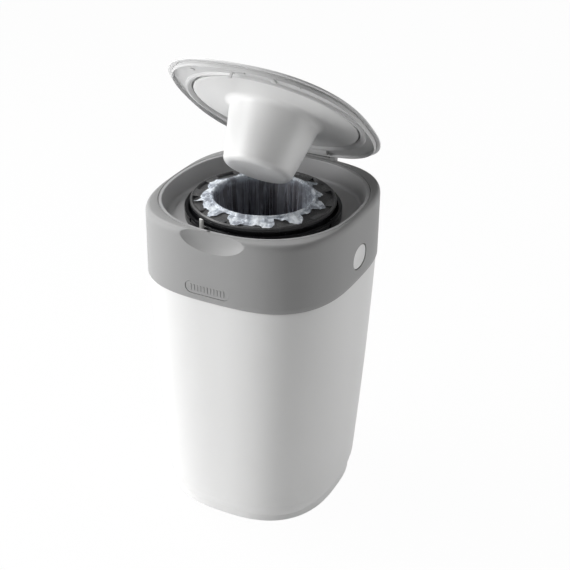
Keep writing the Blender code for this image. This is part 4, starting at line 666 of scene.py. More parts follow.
def catch_slot(mesh):
    """The slot for the lid's catch, through the tray's lip and the collar's shelf."""
    block(mesh, (CATCH_X - SLOT_HALF_WIDTH, SLOT_FRONT - SLOT_DEPTH, RIM_Z - SLOT_HEIGHT),
          (CATCH_X + SLOT_HALF_WIDTH, SLOT_FRONT, RIM_Z + CUT_SPARE))


def lug_side():
    head = [(HINGE.y + y, HINGE.z + z) for y, z in arc((0, 0), LUG_HALF_DEPTH, 180, 0, 20)]
    foot_z = RIM_Z - RIM_THICK
    return [(HINGE.y - LUG_HALF_DEPTH, foot_z)] + head + [(HINGE.y + LUG_HALF_DEPTH, foot_z)]


def collar():
    wall_top = RIM_Z - RIM_ROUND_HEIGHT
    rim = quarter(COLLAR, RIM_Z, RIM_ROUND_WIDTH, RIM_ROUND_HEIGHT, 14)
    wall_low = collar_low.z + EDGE_ROUND
    wall = [(COLLAR, wall_low + (wall_top - wall_low) * step / COLLAR_RINGS) for step in range(COLLAR_RINGS)]
    edge = [(grown(COLLAR, -EDGE_ROUND), collar_low.z),
            (grown(COLLAR, -EDGE_ROUND * 0.3), collar_low.z + EDGE_ROUND * 0.3)]
    shelf_z = RIM_Z - TRAY_LIP - 2 * CLEAR
    groove, shelf, inner = grown(SEAM, CLEAR), grown(SEAM, -SHELF_WIDTH), grown(COLLAR, -COLLAR_WALL)
    inside = [(grown(groove, SEAM_ROUND), RIM_Z),
              (grown(groove, SEAM_ROUND * 0.3), RIM_Z - SEAM_ROUND * 0.3),
              (groove, RIM_Z - SEAM_ROUND), (groove, shelf_z), (shelf, shelf_z), (shelf, RIM_Z - RIM_THICK),
              (inner, wall_top - COLLAR_WALL), (inner, collar_low.z)]
    piece = skin("collar", edge + wall + rim + inside)
    boolean(piece, scoop_wall(), "UNION")
    boolean(piece, ball(SCOOP_CENTRE, SCOOP_RADII), "DIFFERENCE")
    lugs = bmesh.new()
    for side in (-1, 1):
        start = side * (BARREL_HALF + WASHER_THICK + 2 * CLEAR)
        slab(lugs, lug_side(), *sorted((start, start + side * LUG_THICK)))
    sill_half = BARREL_HALF + WASHER_THICK + 3 * CLEAR
    block(lugs, (-sill_half, HINGE.y - SILL_HALF_DEPTH, RIM_Z - RIM_THICK),
          (sill_half, HINGE.y + SILL_HALF_DEPTH, HINGE.z - BARREL_RADIUS - 2 * CLEAR))
    boolean(piece, lugs, "UNION")
    bore = bmesh.new()
    end = BARREL_HALF + WASHER_THICK + LUG_THICK + CUT_SPARE
    rod(bore, (-end, HINGE.y, HINGE.z), (end, HINGE.y, HINGE.z), PIN_RADIUS + CLEAR)
    boolean(piece, bore, "DIFFERENCE")
    windows = bmesh.new()
    for side in (-1, 1):
        low, high = COLLAR[0] - COLLAR_WALL - CUT_SPARE, COLLAR[0] + CUT_SPARE
        fill_rings(windows, [button_ring(side * x, BUTTON_GAP) for x in (low, high)], closed=False)
    boolean(piece, windows, "DIFFERENCE")
    slot = bmesh.new()
    catch_slot(slot)
    boolean(piece, slot, "DIFFERENCE")
    recess = bmesh.new()
    pill(recess, BADGE_GAP, -BADGE_RECESS, CUT_SPARE)
    boolean(piece, recess, "DIFFERENCE")
    return seat(piece, GREY, "upper_unit", "collar_shell")


# %% [markdown]
# ## Release buttons
#
# A button sits in each side of the collar. It is an oval cap, sunk a hair below the wall,
# with a soft edge and a slightly hollow face that a thumb finds without looking. The gap
# round it is what makes it read as a part of its own.

# %% Release buttons
BUTTON_POWER = 2.3
BUTTON_SIDES = 96
BUTTON_HALF_WIDTH = 0.0175
BUTTON_HALF_HEIGHT = 0.0138
BUTTON_GAP = 0.001
BUTTON_DISH = 0.0005
BUTTON_DISH_RUN = 0.0095
BUTTON_EDGE = 0.0011
BUTTON_FLANGE = 0.002
BUTTON_STEM = 0.0018
BUTTON_STEM_INSET = 0.0070
button_low, button_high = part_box("button_right")
BUTTON_Z = (button_low.z + button_high.z) / 2


def button_ring(x, amount):
    """The button's oval in the plane of the collar's side, grown by an amount."""
    half_width, half_height = BUTTON_HALF_WIDTH + amount, BUTTON_HALF_HEIGHT + amount
    points = []
    for step in range(BUTTON_SIDES):
        angle = 2 * math.pi * step / BUTTON_SIDES
        cosine, sine = math.cos(angle), math.sin(angle)
        reach = abs(cosine / half_width) ** BUTTON_POWER + abs(sine / half_height) ** BUTTON_POWER
        reach = reach ** (-1 / BUTTON_POWER)
        points.append(Vector((x, reach * cosine, BUTTON_Z + reach * sine)))
    return points


def press_button(side, name, node_name):
    face = button_high.x
    flange_face = COLLAR[0] - COLLAR_WALL - CLEAR
    back = flange_face - BUTTON_FLANGE
    stations = [(back - BUTTON_STEM, -BUTTON_STEM_INSET), (back, -BUTTON_STEM_INSET), (back, BUTTON_FLANGE),
                (flange_face, BUTTON_FLANGE), (flange_face, 0), (face - 0.0007, 0), (face - 0.0003, -0.0002),
                (face - 0.00005, -0.0006), (face, -BUTTON_EDGE)]
    for share in (step / 6 for step in range(1, 6)):
        hollow = BUTTON_DISH * math.sin(math.pi / 2 * share)
        stations.append((face - hollow, -BUTTON_EDGE - BUTTON_DISH_RUN * share))
    mesh = bmesh.new()
    fill_rings(mesh, [button_ring(side * x, amount) for x, amount in stations], closed=False)
    return seat(object_from(name, mesh), WHITE, node_name, node_name)


# %% A plain sunk plate in the collar's front
BADGE_LEFT, BADGE_RIGHT = -0.034, 0.022
BADGE_LOW, BADGE_HIGH = 0.3233, 0.3377
BADGE_HALF, BADGE_MIDDLE = (BADGE_HIGH - BADGE_LOW) / 2, (BADGE_HIGH + BADGE_LOW) / 2
BADGE_GAP = 0.0004
BADGE_RECESS = 0.0011
BADGE_FACE = 0.0006
RIB_COUNT = 11
RIB_HALF_WIDTH = 0.0007
RIB_FACE = 0.0001


def front_wall(x, amount):
    """Y of the collar's front at this X, grown by an amount."""
    half_x, half_y, power, centre_y = grown(COLLAR, amount)
    return centre_y - half_y * (1 - abs(x / half_x) ** power) ** (1 / power)


def pill(mesh, spare, deep, proud):
    """A pill laid on the collar's front, between two offsets of its wall, as a loft along X."""
    half = BADGE_HALF + spare
    left, right = BADGE_LEFT - spare + half, BADGE_RIGHT + spare - half
    columns = [(left + x, z) for x, z in arc((0, 0), half, 177, 90, 12)]
    columns += [(left + (right - left) * step / 12, half) for step in range(1, 12)]
    columns += [(right + x, z) for x, z in arc((0, 0), half, 90, 3, 12)]
    rings = []
    for x, rise in columns:
        corners = [(proud, rise), (proud, -rise), (deep, -rise), (deep, rise)]
        rings.append([Vector((x, front_wall(x, amount), BADGE_MIDDLE + z)) for amount, z in corners])
    fill_rings(mesh, rings, closed=False)


def blank_plate():
    """A plain plate in the recess, with upright ribs instead of any writing."""
    mesh = bmesh.new()
    pill(mesh, 0, -BADGE_RECESS - BADGE_GAP / 2, -BADGE_FACE)
    for number in range(RIB_COUNT):
        run = BADGE_RIGHT - BADGE_LEFT - 2 * BADGE_HALF
        x = BADGE_LEFT + BADGE_HALF + run * number / (RIB_COUNT - 1)
        block(mesh, (x - RIB_HALF_WIDTH, front_wall(x, -RIB_FACE), BADGE_MIDDLE - BADGE_HALF / 2),
              (x + RIB_HALF_WIDTH, front_wall(x, -BADGE_RECESS), BADGE_MIDDLE + BADGE_HALF / 2))
    return seat(object_from("blank_plate", mesh), GREY, "upper_unit")


collar()
blank_plate()
press_button(-1, "press_button_left", "button_left")
press_button(1, "press_button_right", "button_right")

# %% [markdown]
# ## Tray
#
# The tray is the grey dish between the rim and the cassette. Its lip lies in the collar's
# seam and leaves a fine groove, its wall leans in to the ledge through a soft fillet, and
# the ledge carries small moulded marks. A slot in the front takes the lid's catch, and a
# hole beside the ring lets the click pawl stand through.

# %% Tray sizes
LEDGE_Z = 0.375
TRAY_DRAW_IN = 0.0032
TRAY_FLOOR = 0.0025
TRAY_WALL = 0.0022
TRAY_FILLET = 0.0045
MOUTH_ROUND = 0.0013
LEDGE_HOLE_RADIUS = 0.0903
LEDGE = grown(MOUTH, -TRAY_DRAW_IN)
PAWL_ANGLE = 250.5
PAWL_RADIUS = 0.096
PAWL_HALF_WIDTH = 0.0024
PAWL_HALF_DEPTH = 0.0015
PAWL_SWAY = 0.0016


# %% Tray with its slot, pawl hole and ledge marks
MARK_DEPTH = 0.0004
MARK_HALF_WIDTH = 0.00045
MARK_START, MARK_END = 0.0945, 0.1015
MARK_ARC_RADIUS = 0.1045
MARK_ANGLES = (187.0, 7.0)


def ledge_marks(mesh):
    """Fine lines in the ledge that show where the ring's notches stand."""
    low, high = LEDGE_Z - MARK_DEPTH, LEDGE_Z + CUT_SPARE
    for angle in MARK_ANGLES:
        block(mesh, (MARK_START, -MARK_HALF_WIDTH, low), (MARK_END, MARK_HALF_WIDTH, high), turned(angle))
        sweep = [angle + 4 + step * 1.5 for step in range(10)]
        for start, end in zip(sweep, sweep[1:]):
            points = [(MARK_ARC_RADIUS + side * MARK_HALF_WIDTH, way) for side, way in
                      ((-1, start), (1, start), (1, end), (-1, end))]
            corners = [(radius * math.cos(math.radians(way)), AXIS_Y + radius * math.sin(math.radians(way)))
                       for radius, way in points]
            fill_rings(mesh, [[Vector((x, y, z)) for x, y in corners] for z in (low, high)], closed=False)


def tray():
    lip = grown(SEAM, -CLEAR)
    lip_bottom = RIM_Z - TRAY_LIP - CLEAR
    wall_top = RIM_Z - MOUTH_ROUND
    edge = [(lip, lip_bottom), (lip, RIM_Z - SEAM_ROUND),
            (grown(lip, -SEAM_ROUND * 0.3), RIM_Z - SEAM_ROUND * 0.3),
            (grown(lip, -SEAM_ROUND), RIM_Z - CLEAR)]
    mouth = quarter(MOUTH, RIM_Z - CLEAR, -MOUTH_ROUND, MOUTH_ROUND, 6)[::-1]
    wall = [(between(MOUTH, LEDGE, share), wall_top + (LEDGE_Z + TRAY_FILLET - wall_top) * share)
            for share in (0.25, 0.5, 0.75)]
    fillet = quarter(LEDGE, LEDGE_Z, TRAY_FILLET, -TRAY_FILLET, 8)
    hole = circle(LEDGE_HOLE_RADIUS)
    under = [(grown(hole, SEAM_ROUND), LEDGE_Z), (hole, LEDGE_Z - SEAM_ROUND), (hole, LEDGE_Z - TRAY_FLOOR),
             (LEDGE, LEDGE_Z - TRAY_FLOOR), (grown(LEDGE, TRAY_WALL), LEDGE_Z + TRAY_FILLET),
             (grown(MOUTH, TRAY_WALL), lip_bottom)]
    piece = skin("tray", edge + mouth + wall + fillet + under)
    cuts = bmesh.new()
    depth, width = PAWL_HALF_DEPTH + PAWL_SWAY, PAWL_HALF_WIDTH + CLEAR
    block(cuts, (PAWL_RADIUS - depth, -width, LEDGE_Z - TRAY_FLOOR - CUT_SPARE),
          (PAWL_RADIUS + depth, width, LEDGE_Z + CUT_SPARE), turned(PAWL_ANGLE))
    catch_slot(cuts)
    ledge_marks(cuts)
    boolean(piece, cuts, "DIFFERENCE")
    return seat(piece, TRAY, "upper_unit", "inner_tray")


tray()

# %% [markdown]
# ## Click pawl
#
# A small pale peg stands beside the ring. It is a sprung pawl that clicks as the cassette
# turns. Its crown is round and its long edges are soft.

# %% Click pawl
pawl_low, pawl_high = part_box("click_pawl")
PAWL_EDGE = 0.0005
PAWL_END_SHARE = 0.7


def pawl_peg():
    half = PAWL_HALF_DEPTH
    side = [(-half, pawl_low.z), (half, pawl_low.z)] + arc((0, pawl_high.z - half), half, 0, 180, 16)
    place = turned(PAWL_ANGLE)
    ends = [(-PAWL_HALF_WIDTH, PAWL_END_SHARE), (PAWL_EDGE - PAWL_HALF_WIDTH, 1),
            (PAWL_HALF_WIDTH - PAWL_EDGE, 1), (PAWL_HALF_WIDTH, PAWL_END_SHARE)]
    mesh = bmesh.new()
    rings = [[place @ Vector((PAWL_RADIUS + x * share, y, z)) for x, z in side] for y, share in ends]
    fill_rings(mesh, rings, closed=False)
    return seat(object_from("pawl_peg", mesh), PEG, "pawl", "click_pawl")


pawl_peg()

# %% [markdown]
# ## Turntable ring
#
# The glossy black ring that shows round the cassette is the top of a turntable. It is a
# turned part: a flange with a chamfer that catches a thin line of light, a fine groove, and
# a cup below that holds the cassette. Small notches are cut in the flange's edge.

# %% Turntable ring
FLANGE_RADIUS = (table_high.x - table_low.x) / 2
BODY_RADIUS = 0.0885
POCKET_RADIUS = 0.0872
TABLE_FLOOR = 0.0022
TABLE_HOLE_RADIUS = 0.064
FLANGE_LOW = LEDGE_Z + CLEAR
NOTCH_ANGLES = (52.4, 105.1, 172.4, 232.4, 285.1, 352.4)
NOTCH_HALF_WIDTH = 0.0022
NOTCH_DEPTH = 0.0012
NOTCH_HEIGHT = 0.006
GROOVE_SHARE = 0.62
GROOVE_HALF, GROOVE_DEPTH = 0.0004, 0.0003


def turntable_ring():
    top = table_high.z
    groove_z = FLANGE_LOW + (top - FLANGE_LOW) * GROOVE_SHARE
    profile = softened([
        (BODY_RADIUS, table_low.z, 0.0006),
        (BODY_RADIUS, FLANGE_LOW),
        (FLANGE_RADIUS, FLANGE_LOW, 0.0004),
        (FLANGE_RADIUS, groove_z - GROOVE_HALF, 0.0001),
        (FLANGE_RADIUS - GROOVE_DEPTH, groove_z),
        (FLANGE_RADIUS, groove_z + GROOVE_HALF, 0.0001),
        (FLANGE_RADIUS, top - 0.0013, 0.0005),
        (FLANGE_RADIUS - 0.0013, top, 0.0005),
        (FLANGE_RADIUS - 0.0034, top, 0.0003),
        (POCKET_RADIUS + 0.0006, top - 0.0004, 0.0003),
        (POCKET_RADIUS, top - 0.0012),
        (POCKET_RADIUS, table_low.z + TABLE_FLOOR),
        (TABLE_HOLE_RADIUS, table_low.z + TABLE_FLOOR),
        (TABLE_HOLE_RADIUS, table_low.z),
    ])
    piece = object_from("turntable_ring", loft(profile))
    notches = bmesh.new()
    for angle in NOTCH_ANGLES:
        block(notches, (FLANGE_RADIUS - NOTCH_DEPTH, -NOTCH_HALF_WIDTH, top - NOTCH_HEIGHT),
              (FLANGE_RADIUS + CUT_SPARE, NOTCH_HALF_WIDTH, top - NOTCH_HEIGHT / 4), turned(angle))
    boolean(piece, notches, "DIFFERENCE")
    return seat(piece, BLACK, "cassette", "turntable")


turntable_ring()

# %% [markdown]
# ## Cassette
#
# The refill is a ring-shaped trough with a lip at its throat. Its top ring has a raised bead
# at the outside and a plate that rises gently to the throat, with a slit at the lip where
# the film comes out. Raised tabs divide the plate, and they are set by a small Geometry
# Nodes tree: one rounded trapezoid, placed round a circle.

# %% Cassette trough and top ring
body_low, body_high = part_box("cassette_body")
ring_low, ring_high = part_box("cassette_top_ring")
CASSETTE_OUTER = (body_high.x - body_low.x) / 2
CASSETTE_WALL = 0.0016
THROAT_INNER = 0.06
TROUGH_INNER = THROAT_INNER + CASSETTE_WALL
TROUGH_OUTER = CASSETTE_OUTER - CASSETTE_WALL
CASSETTE_RIM_Z = 0.3915
LIP_Z = body_high.z
PLATE_INNER = TROUGH_INNER + 0.0014
PLATE_OUTER = CASSETTE_OUTER - 0.0032
PLATE_OUTER_Z = CASSETTE_RIM_Z + 0.0006
PLATE_RISE = 0.0041
PLATE_THICK = 0.0016


def plate_height(radius):
    """Height of the cassette's plate, which rises towards the throat."""
    share = (PLATE_OUTER - radius) / (PLATE_OUTER - PLATE_INNER)
    return PLATE_OUTER_Z + PLATE_RISE * min(max(share, 0), 1)


def cassette():
    trough = softened([
        (THROAT_INNER, body_low.z), (CASSETTE_OUTER, body_low.z, 0.0008), (CASSETTE_OUTER, CASSETTE_RIM_Z),
        (TROUGH_OUTER, CASSETTE_RIM_Z), (TROUGH_OUTER, body_low.z + CASSETTE_WALL),
        (TROUGH_INNER, body_low.z + CASSETTE_WALL), (TROUGH_INNER, LIP_Z, 0.0007),
        (THROAT_INNER, LIP_Z, 0.0007),
    ])
    seat(object_from("cassette_trough", loft(trough)), BLACK, "cassette", "cassette_body")
    base = CASSETTE_RIM_Z + CLEAR
    bead_foot = PLATE_OUTER - 0.0012
    top = softened([
        (PLATE_INNER, plate_height(PLATE_INNER), 0.0006),
        (bead_foot, plate_height(bead_foot), 0.0008),
        (PLATE_OUTER, ring_high.z - 0.0008, 0.0006),
        (PLATE_OUTER + 0.0013, ring_high.z, 0.0008),
        (CASSETTE_OUTER, ring_high.z - 0.0016, 0.0008),
        (CASSETTE_OUTER, base),
        (TROUGH_OUTER - CLEAR, base),
        (PLATE_OUTER, ring_low.z),
        (PLATE_INNER, plate_height(PLATE_INNER) - PLATE_THICK, 0.0004),
    ])
    seat(object_from("cassette_plate", loft(top)), DULL_BLACK, "cassette", "cassette_top_ring")


cassette()


# %% A tree that sets rounded trapezoids round a circle
def new_tree(name, inputs):
    """A Geometry Nodes tree that gives out a mesh, with the sockets of its named inputs."""
    tree = bpy.data.node_groups.new(name, "GeometryNodeTree")
    tree.interface.new_socket("Geometry", in_out="OUTPUT", socket_type="NodeSocketGeometry")
    for label, kind, value in inputs:
        socket = tree.interface.new_socket(label, in_out="INPUT", socket_type="NodeSocket" + kind)
        if value is not None:
            socket.default_value = value
    return tree, tree.nodes.new("NodeGroupInput").outputs


def moved(tree, geometry, **inputs):
    inputs = {label.capitalize(): value for label, value in inputs.items()}
    return node(tree, "GeometryNodeTransform", {"Geometry": geometry, **inputs}).outputs["Geometry"]


def along(tree, axis, value):
    """A vector that points along one axis by this value."""
    return node(tree, "ShaderNodeCombineXYZ", {axis: value}).outputs["Vector"]


def set_on_points(tree, points, instance, rotation, finish):
    """Ends a tree: the shape on every point, made real and given its material."""
    places = node(tree, "GeometryNodeInstanceOnPoints",
                  {"Points": points, "Instance": instance, "Rotation": rotation})
    real = node(tree, "GeometryNodeRealizeInstances", {"Geometry": places.outputs["Instances"]})
    painted = node(tree, "GeometryNodeSetMaterial",
                   {"Geometry": real.outputs["Geometry"], "Material": finish})
    tree.links.new(painted.outputs["Geometry"], tree.nodes.new("NodeGroupOutput").inputs[0])
    return tree


def tab_ring_tree():
    tree, given = new_tree("tab_ring", [
        ("Count", "Int", 12), ("Radius", "Float", 0.077), ("Start angle", "Float", 0.0),
        ("Outer width", "Float", 0.02), ("Inner width", "Float", 0.012), ("Length", "Float", 0.01),
        ("Height", "Float", 0.001), ("Corner", "Float", 0.001), ("Tilt", "Float", 0.0),
        ("Centre", "Vector", None), ("Finish", "Material", None)])
    ring = node(tree, "GeometryNodeCurvePrimitiveCircle",
                {"Resolution": given["Count"], "Radius": given["Radius"]}, mode="RADIUS")
    points = moved(tree, ring.outputs["Curve"], rotation=along(tree, "Z", given["Start angle"]),
                   translation=given["Centre"])
    outline = node(tree, "GeometryNodeCurvePrimitiveQuadrilateral",
                   {"Bottom Width": given["Outer width"], "Top Width": given["Inner width"],
                    "Height": given["Length"], "Offset": 0}, mode="TRAPEZOID")
    corners = node(tree, "GeometryNodeFilletCurve",
                   {"Curve": outline.outputs["Curve"], "Count": 5, "Radius": given["Corner"]}, mode="POLY")
    face = node(tree, "GeometryNodeFillCurve", {"Curve": corners.outputs["Curve"]}).outputs["Mesh"]
    raised = node(tree, "GeometryNodeExtrudeMesh",
                  {"Mesh": face, "Offset Scale": given["Height"], "Individual": False}, mode="FACES")
    flipped = node(tree, "GeometryNodeFlipFaces", {"Mesh": face})
    both = node(tree, "GeometryNodeJoinGeometry",
                {"Geometry": [raised.outputs["Mesh"], flipped.outputs["Mesh"]]})
    welded = node(tree, "GeometryNodeMergeByDistance",
                  {"Geometry": both.outputs["Geometry"], "Distance": 0.00001})
    tangent = node(tree, "GeometryNodeInputTangent").outputs["Tangent"]
    aligned = node(tree, "FunctionNodeAlignRotationToVector", {"Vector": tangent}, axis="X")
    lean = node(tree, "FunctionNodeEulerToRotation", {"Euler": along(tree, "X", given["Tilt"])})
    tilted = node(tree, "FunctionNodeRotateRotation",
                  {"Rotation": aligned.outputs["Rotation"], "Rotate By": lean.outputs["Rotation"]},
                  rotation_space="LOCAL")
    return set_on_points(tree, points, welded.outputs["Geometry"], tilted.outputs["Rotation"],
                         given["Finish"])


def from_tree(name, tree, mesh=None, **values):
    """A plain mesh object made by a Geometry Nodes tree with these inputs."""
    data = bpy.data.meshes.new(name)
    if mesh:
        mesh.to_mesh(data)
        mesh.free()
    piece = bpy.data.objects.new(name, data)
    bpy.context.scene.collection.objects.link(piece)
    step = piece.modifiers.new("nodes", "NODES")
    step.node_group = tree
    sockets = {item.name: item.identifier for item in tree.interface.items_tree if item.in_out == "INPUT"}
    for label, value in values.items():
        step[sockets[label.replace("_", " ")]] = value
    plain(piece)
    piece.data.shade_smooth()
    piece.data.set_sharp_from_angle(angle=SHARP_ANGLE)
    return piece


TAB_COUNT = 12
TAB_FIRST_ANGLE = 287.5
TAB_RADIUS = 0.0772
TAB_LENGTH = 0.0112
TAB_HEIGHT = 0.0013
tab_slope = math.atan(PLATE_RISE / (PLATE_OUTER - PLATE_INNER))
tabs = from_tree("cassette_tabs", tab_ring_tree(), Count=TAB_COUNT, Radius=TAB_RADIUS,
                 Start_angle=math.radians(TAB_FIRST_ANGLE), Outer_width=0.0210, Inner_width=0.0150,
                 Length=TAB_LENGTH, Height=TAB_HEIGHT, Corner=0.0020, Tilt=-tab_slope,
                 Centre=(0, AXIS_Y, plate_height(TAB_RADIUS)), Finish=DULL_BLACK)
seat(tabs, DULL_BLACK, "cassette")

# %% [markdown]
# ## Film
#
# The film comes up out of the slit, folds over the lip and hangs down the throat in long
# pleats, which close to a tail above the knot. Between the tabs it spills outwards in
# crumpled flaps. The whole tube is one grid: one direction goes round, the other runs along
# the film. Pleats grow with depth, the crumpling comes from noise, and a fixed seed keeps
# the result the same each time.

# %% The route of the film
sleeve_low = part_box("film_sleeve")[0]
FILM_AROUND = 720
FLAPS = [    # middle angle, half angle, reach and how pointed the flap is
    (173.0, 16.0, 0.0770, 0.4), (205.0, 17.0, 0.0740, 0.4), (214.4, 8.0, 0.0832, 1.4),
    (231.0, 20.0, 0.0748, 0.4), (245.5, 7.0, 0.0820, 0.45), (283.5, 22.5, 0.0775, 0.2),
    (272.0, 9.0, 0.0824, 0.4), (299.8, 7.0, 0.0830, 0.25), (318.0, 9.0, 0.0700, 0.5),
    (327.5, 9.0, 0.0812, 0.4), (345.0, 12.0, 0.0690, 0.6), (5.5, 13.0, 0.0778, 0.8),
    (32.0, 9.0, 0.0705, 0.8), (60.0, 7.0, 0.0790, 0.8), (101.0, 9.0, 0.0755, 0.7),
    (136.0, 10.0, 0.0775, 0.5)]
FLAP_JITTER = 1.3       # degrees
FLAP_RAGGED = 0.10
RIPPLE_DEPTH = 0.0010
APRON_INNER = 0.0640
LIP_CROWN = (TROUGH_INNER + THROAT_INNER) / 2
FILM_WALL = THROAT_INNER - 0.0008
FILM_LIFT = 0.0010
TAIL_RADIUS = 0.0116
JAW_TOP = 0.3142
# Angle and half width of the painted reflection that makes the hanging film paler on its right-back side
PAINTED_SHEEN_ANGLE = 22.0
PAINTED_SHEEN_HALF = 48.0
APRON_STEPS = 16
DEPTH_STEPS = 24
FUNNEL = [(0.056, 0.009), (0.046, 0.0065), (0.036, 0.005), (0.026, 0.0038), (0.017, 0.0026),
          (TAIL_RADIUS, 0.0)]    # radius and rise above the jaws
TAIL_DROPS = (0.005, 0.010, JAW_TOP - sleeve_low.z)


def turn_between(degrees, middle):
    return (degrees - middle + 180) % 360 - 180


def flap_reach(degrees):
    """How far the film spreads over the plate at this angle."""
    ripple = noise.noise(Vector((degrees * 0.23, 3.1, 0)))
    reach = APRON_INNER + RIPPLE_DEPTH * ripple
    for number, (middle, half, tip, pointed) in enumerate(FLAPS):
        jitter = FLAP_JITTER * noise.noise(Vector((degrees * 0.55, number * 1.7, 0)))
        share = min(max(1 - abs(turn_between(degrees, middle) + jitter) / half, 0), 1)
        ragged = 1 - FLAP_RAGGED * abs(noise.noise(Vector((degrees * 0.9, number * 5.3, 1.0))))
        reach = max(reach, APRON_INNER + (tip - APRON_INNER) * share ** pointed * ragged)
    return reach


def film_route(degrees):
    """Points along the film at this angle: radius, height and how milky it is, with a painted reflection
    that makes the hanging film paler on its right-back side.
    """
    reach = flap_reach(degrees)
    points = []
    for step in range(APRON_STEPS):
        radius = reach + (TROUGH_INNER + 0.0006 - reach) * step / APRON_STEPS
        points.append((radius, plate_height(radius) + FILM_LIFT, 1.0))
    points += [(TROUGH_INNER + 0.0004, LIP_Z + 0.0006, 1.0), (TROUGH_INNER, LIP_Z + 0.0013, 1.0),
               (LIP_CROWN, LIP_Z + 0.0015, 1.0), (THROAT_INNER + 0.0001, LIP_Z + 0.0010, 1.0),
               (FILM_WALL - 0.0002, LIP_Z - 0.0003, 0.8)]
    # Round one angle, on the right-back side of the throat, the hanging film is painted paler and more
    # opaque: a painted reflection over a faint even haze
    from_painted_sheen = min(1, abs(turn_between(degrees, PAINTED_SHEEN_ANGLE)) / PAINTED_SHEEN_HALF)
    haze_and_painted_sheen = 0.06 + 0.62 * max(0, math.cos(math.pi / 2 * from_painted_sheen))
    top, bottom = LIP_Z - 0.0015, JAW_TOP + 0.0155
    for step in range(1, DEPTH_STEPS + 1):
        share = step / DEPTH_STEPS
        milky = haze_and_painted_sheen + (0.75 - haze_and_painted_sheen) * max(0, 1 - share * 9)
        points.append((FILM_WALL, top + (bottom - top) * share, milky))
    points += [(radius, JAW_TOP + rise, 0.1) for radius, rise in FUNNEL]
    return points + [(TAIL_RADIUS, JAW_TOP - drop, 0.2) for drop in TAIL_DROPS]


print("film spreads to", [round(flap_reach(a), 4) for a in (214.4, 245.5, 287.0)], "m from the axis")

# %% Pleats, crumples and the film's mesh
PLEATS = 46
PLEAT_DEPTH = 0.0052
PLEAT_RUN = 0.045
CRUMPLE_SCALE = 330
FOLD_LIFT, CREASE_LIFT = 0.0022, 0.0011
LIP_CRUMPLE_DEPTH = 0.004
dice = random.Random(7)
pleat_edges = sorted(dice.uniform(0, 360) for _ in range(PLEATS))
pleat_depths = [dice.uniform(0.35, 1.0) for _ in range(PLEATS)]


def pleat(degrees):
    """A pleat's depth at this angle: it leans from one fold to the next."""
    degrees %= 360
    for index, edge in enumerate(pleat_edges):
        after = pleat_edges[(index + 1) % PLEATS] + (360 if index == PLEATS - 1 else 0)
        here = degrees + (360 if degrees < edge and index == PLEATS - 1 else 0)
        if edge <= here < after:
            share = (here - edge) / (after - edge)
            return pleat_depths[index] * math.sin(math.pi * share) ** 0.8
    return 0


def over_plate_shape(radius, height, spot, degrees):
    """A point of a flap, lifted by radial folds and fine creases."""
    away = min(max((radius - TROUGH_INNER) / 0.005, 0.2), 1)
    fold = abs(noise.noise(Vector((degrees * 0.16, radius * 40, 2.0))))
    crease = abs(noise.noise(spot * 0.7)) + 0.4 * abs(noise.noise(spot * 1.5))
    return radius + 0.0005 * noise.noise(spot), height + away * (FOLD_LIFT * fold + CREASE_LIFT * crease)


def wall_shape(radius, height, spot, degrees):
    """A point of the hanging film, drawn inwards by its pleats."""
    depth = LIP_Z - height
    drawn = min(max(depth / PLEAT_RUN, 0), 1)
    radius -= min(0.0004 + PLEAT_DEPTH * drawn * pleat(degrees), radius * 0.3)
    if depth < LIP_CRUMPLE_DEPTH:
        radius -= 0.0006 * abs(noise.noise(spot * 1.6))
        height += 0.0007 * noise.noise(spot * 1.6)
    return radius, height


def film_sheet():
    mesh = bmesh.new()
    # Each point stores the film's milkiness, and on the right-back side of the throat also its painted
    # reflection
    milky = mesh.verts.layers.float.new("milky")
    rows = []
    for step in range(FILM_AROUND):
        degrees = 360 * step / FILM_AROUND
        angle = math.radians(degrees)
        row = []
        for radius, height, milk_and_painted_sheen in film_route(degrees):
            spot = Vector((math.cos(angle) * radius, math.sin(angle) * radius, height)) * CRUMPLE_SCALE
            shape = over_plate_shape if radius > LIP_CROWN - 0.0001 else wall_shape
            if height > JAW_TOP:
                radius, height = shape(radius, height, spot, degrees)
            vertex = mesh.verts.new((radius * math.cos(angle), AXIS_Y + radius * math.sin(angle), height))
            vertex[milky] = milk_and_painted_sheen
            row.append(vertex)
        rows.append(row)
    uv = mesh.loops.layers.uv.new("film")
    length = len(rows[0])
    for index, row in enumerate(rows):
        after = rows[(index + 1) % FILM_AROUND]
        for step in range(length - 1):
            face = mesh.faces.new((row[step], row[step + 1], after[step + 1], after[step]))
            for loop, (round_step, along) in zip(face.loops, ((0, 0), (0, 1), (1, 1), (1, 0))):
                loop[uv].uv = ((index + round_step) / FILM_AROUND, (step + along) / length)
    bmesh.ops.recalc_face_normals(mesh, faces=mesh.faces)
    return object_from("film_tube", mesh)


film = film_sheet()
film.data.set_sharp_from_angle(angle=math.radians(75))
seat(film, FILM, "cassette", "film_sleeve")

# %% [markdown]
# ## Packed film and the knot
#
# Metres of film lie folded in the trough like a concertina, and the tail of the first bag is
# knotted. Neither shows from above, but a cut through the bin would.

# %% Packed film and the knot
pack_low, pack_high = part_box("film_pack")
PACK_FOLDS = 26
PACK_CLEAR = 0.0016
FOLD_DEPTH = 0.0010


def packed_film():
    inner, outer = TROUGH_INNER + PACK_CLEAR, TROUGH_OUTER - PACK_CLEAR
    outside, inside = [], []
    for step in range(PACK_FOLDS * 2 + 1):
        height = pack_low.z + (pack_high.z - pack_low.z) * step / (PACK_FOLDS * 2)
        tuck = FOLD_DEPTH if step % 2 else 0
        outside.append((outer - tuck, height))
        inside.append((inner + tuck, height))
    mesh = loft(outside + inside[::-1], sides=120)
    for vertex in mesh.verts:
        if pack_low.z < vertex.co.z < pack_high.z:
            vertex.co.z += 0.0002 * noise.noise(vertex.co * 300)
    piece = object_from("packed_film", mesh)
    film_map(piece, 0.3)
    return seat(piece, FILM, "cassette", "film_pack")


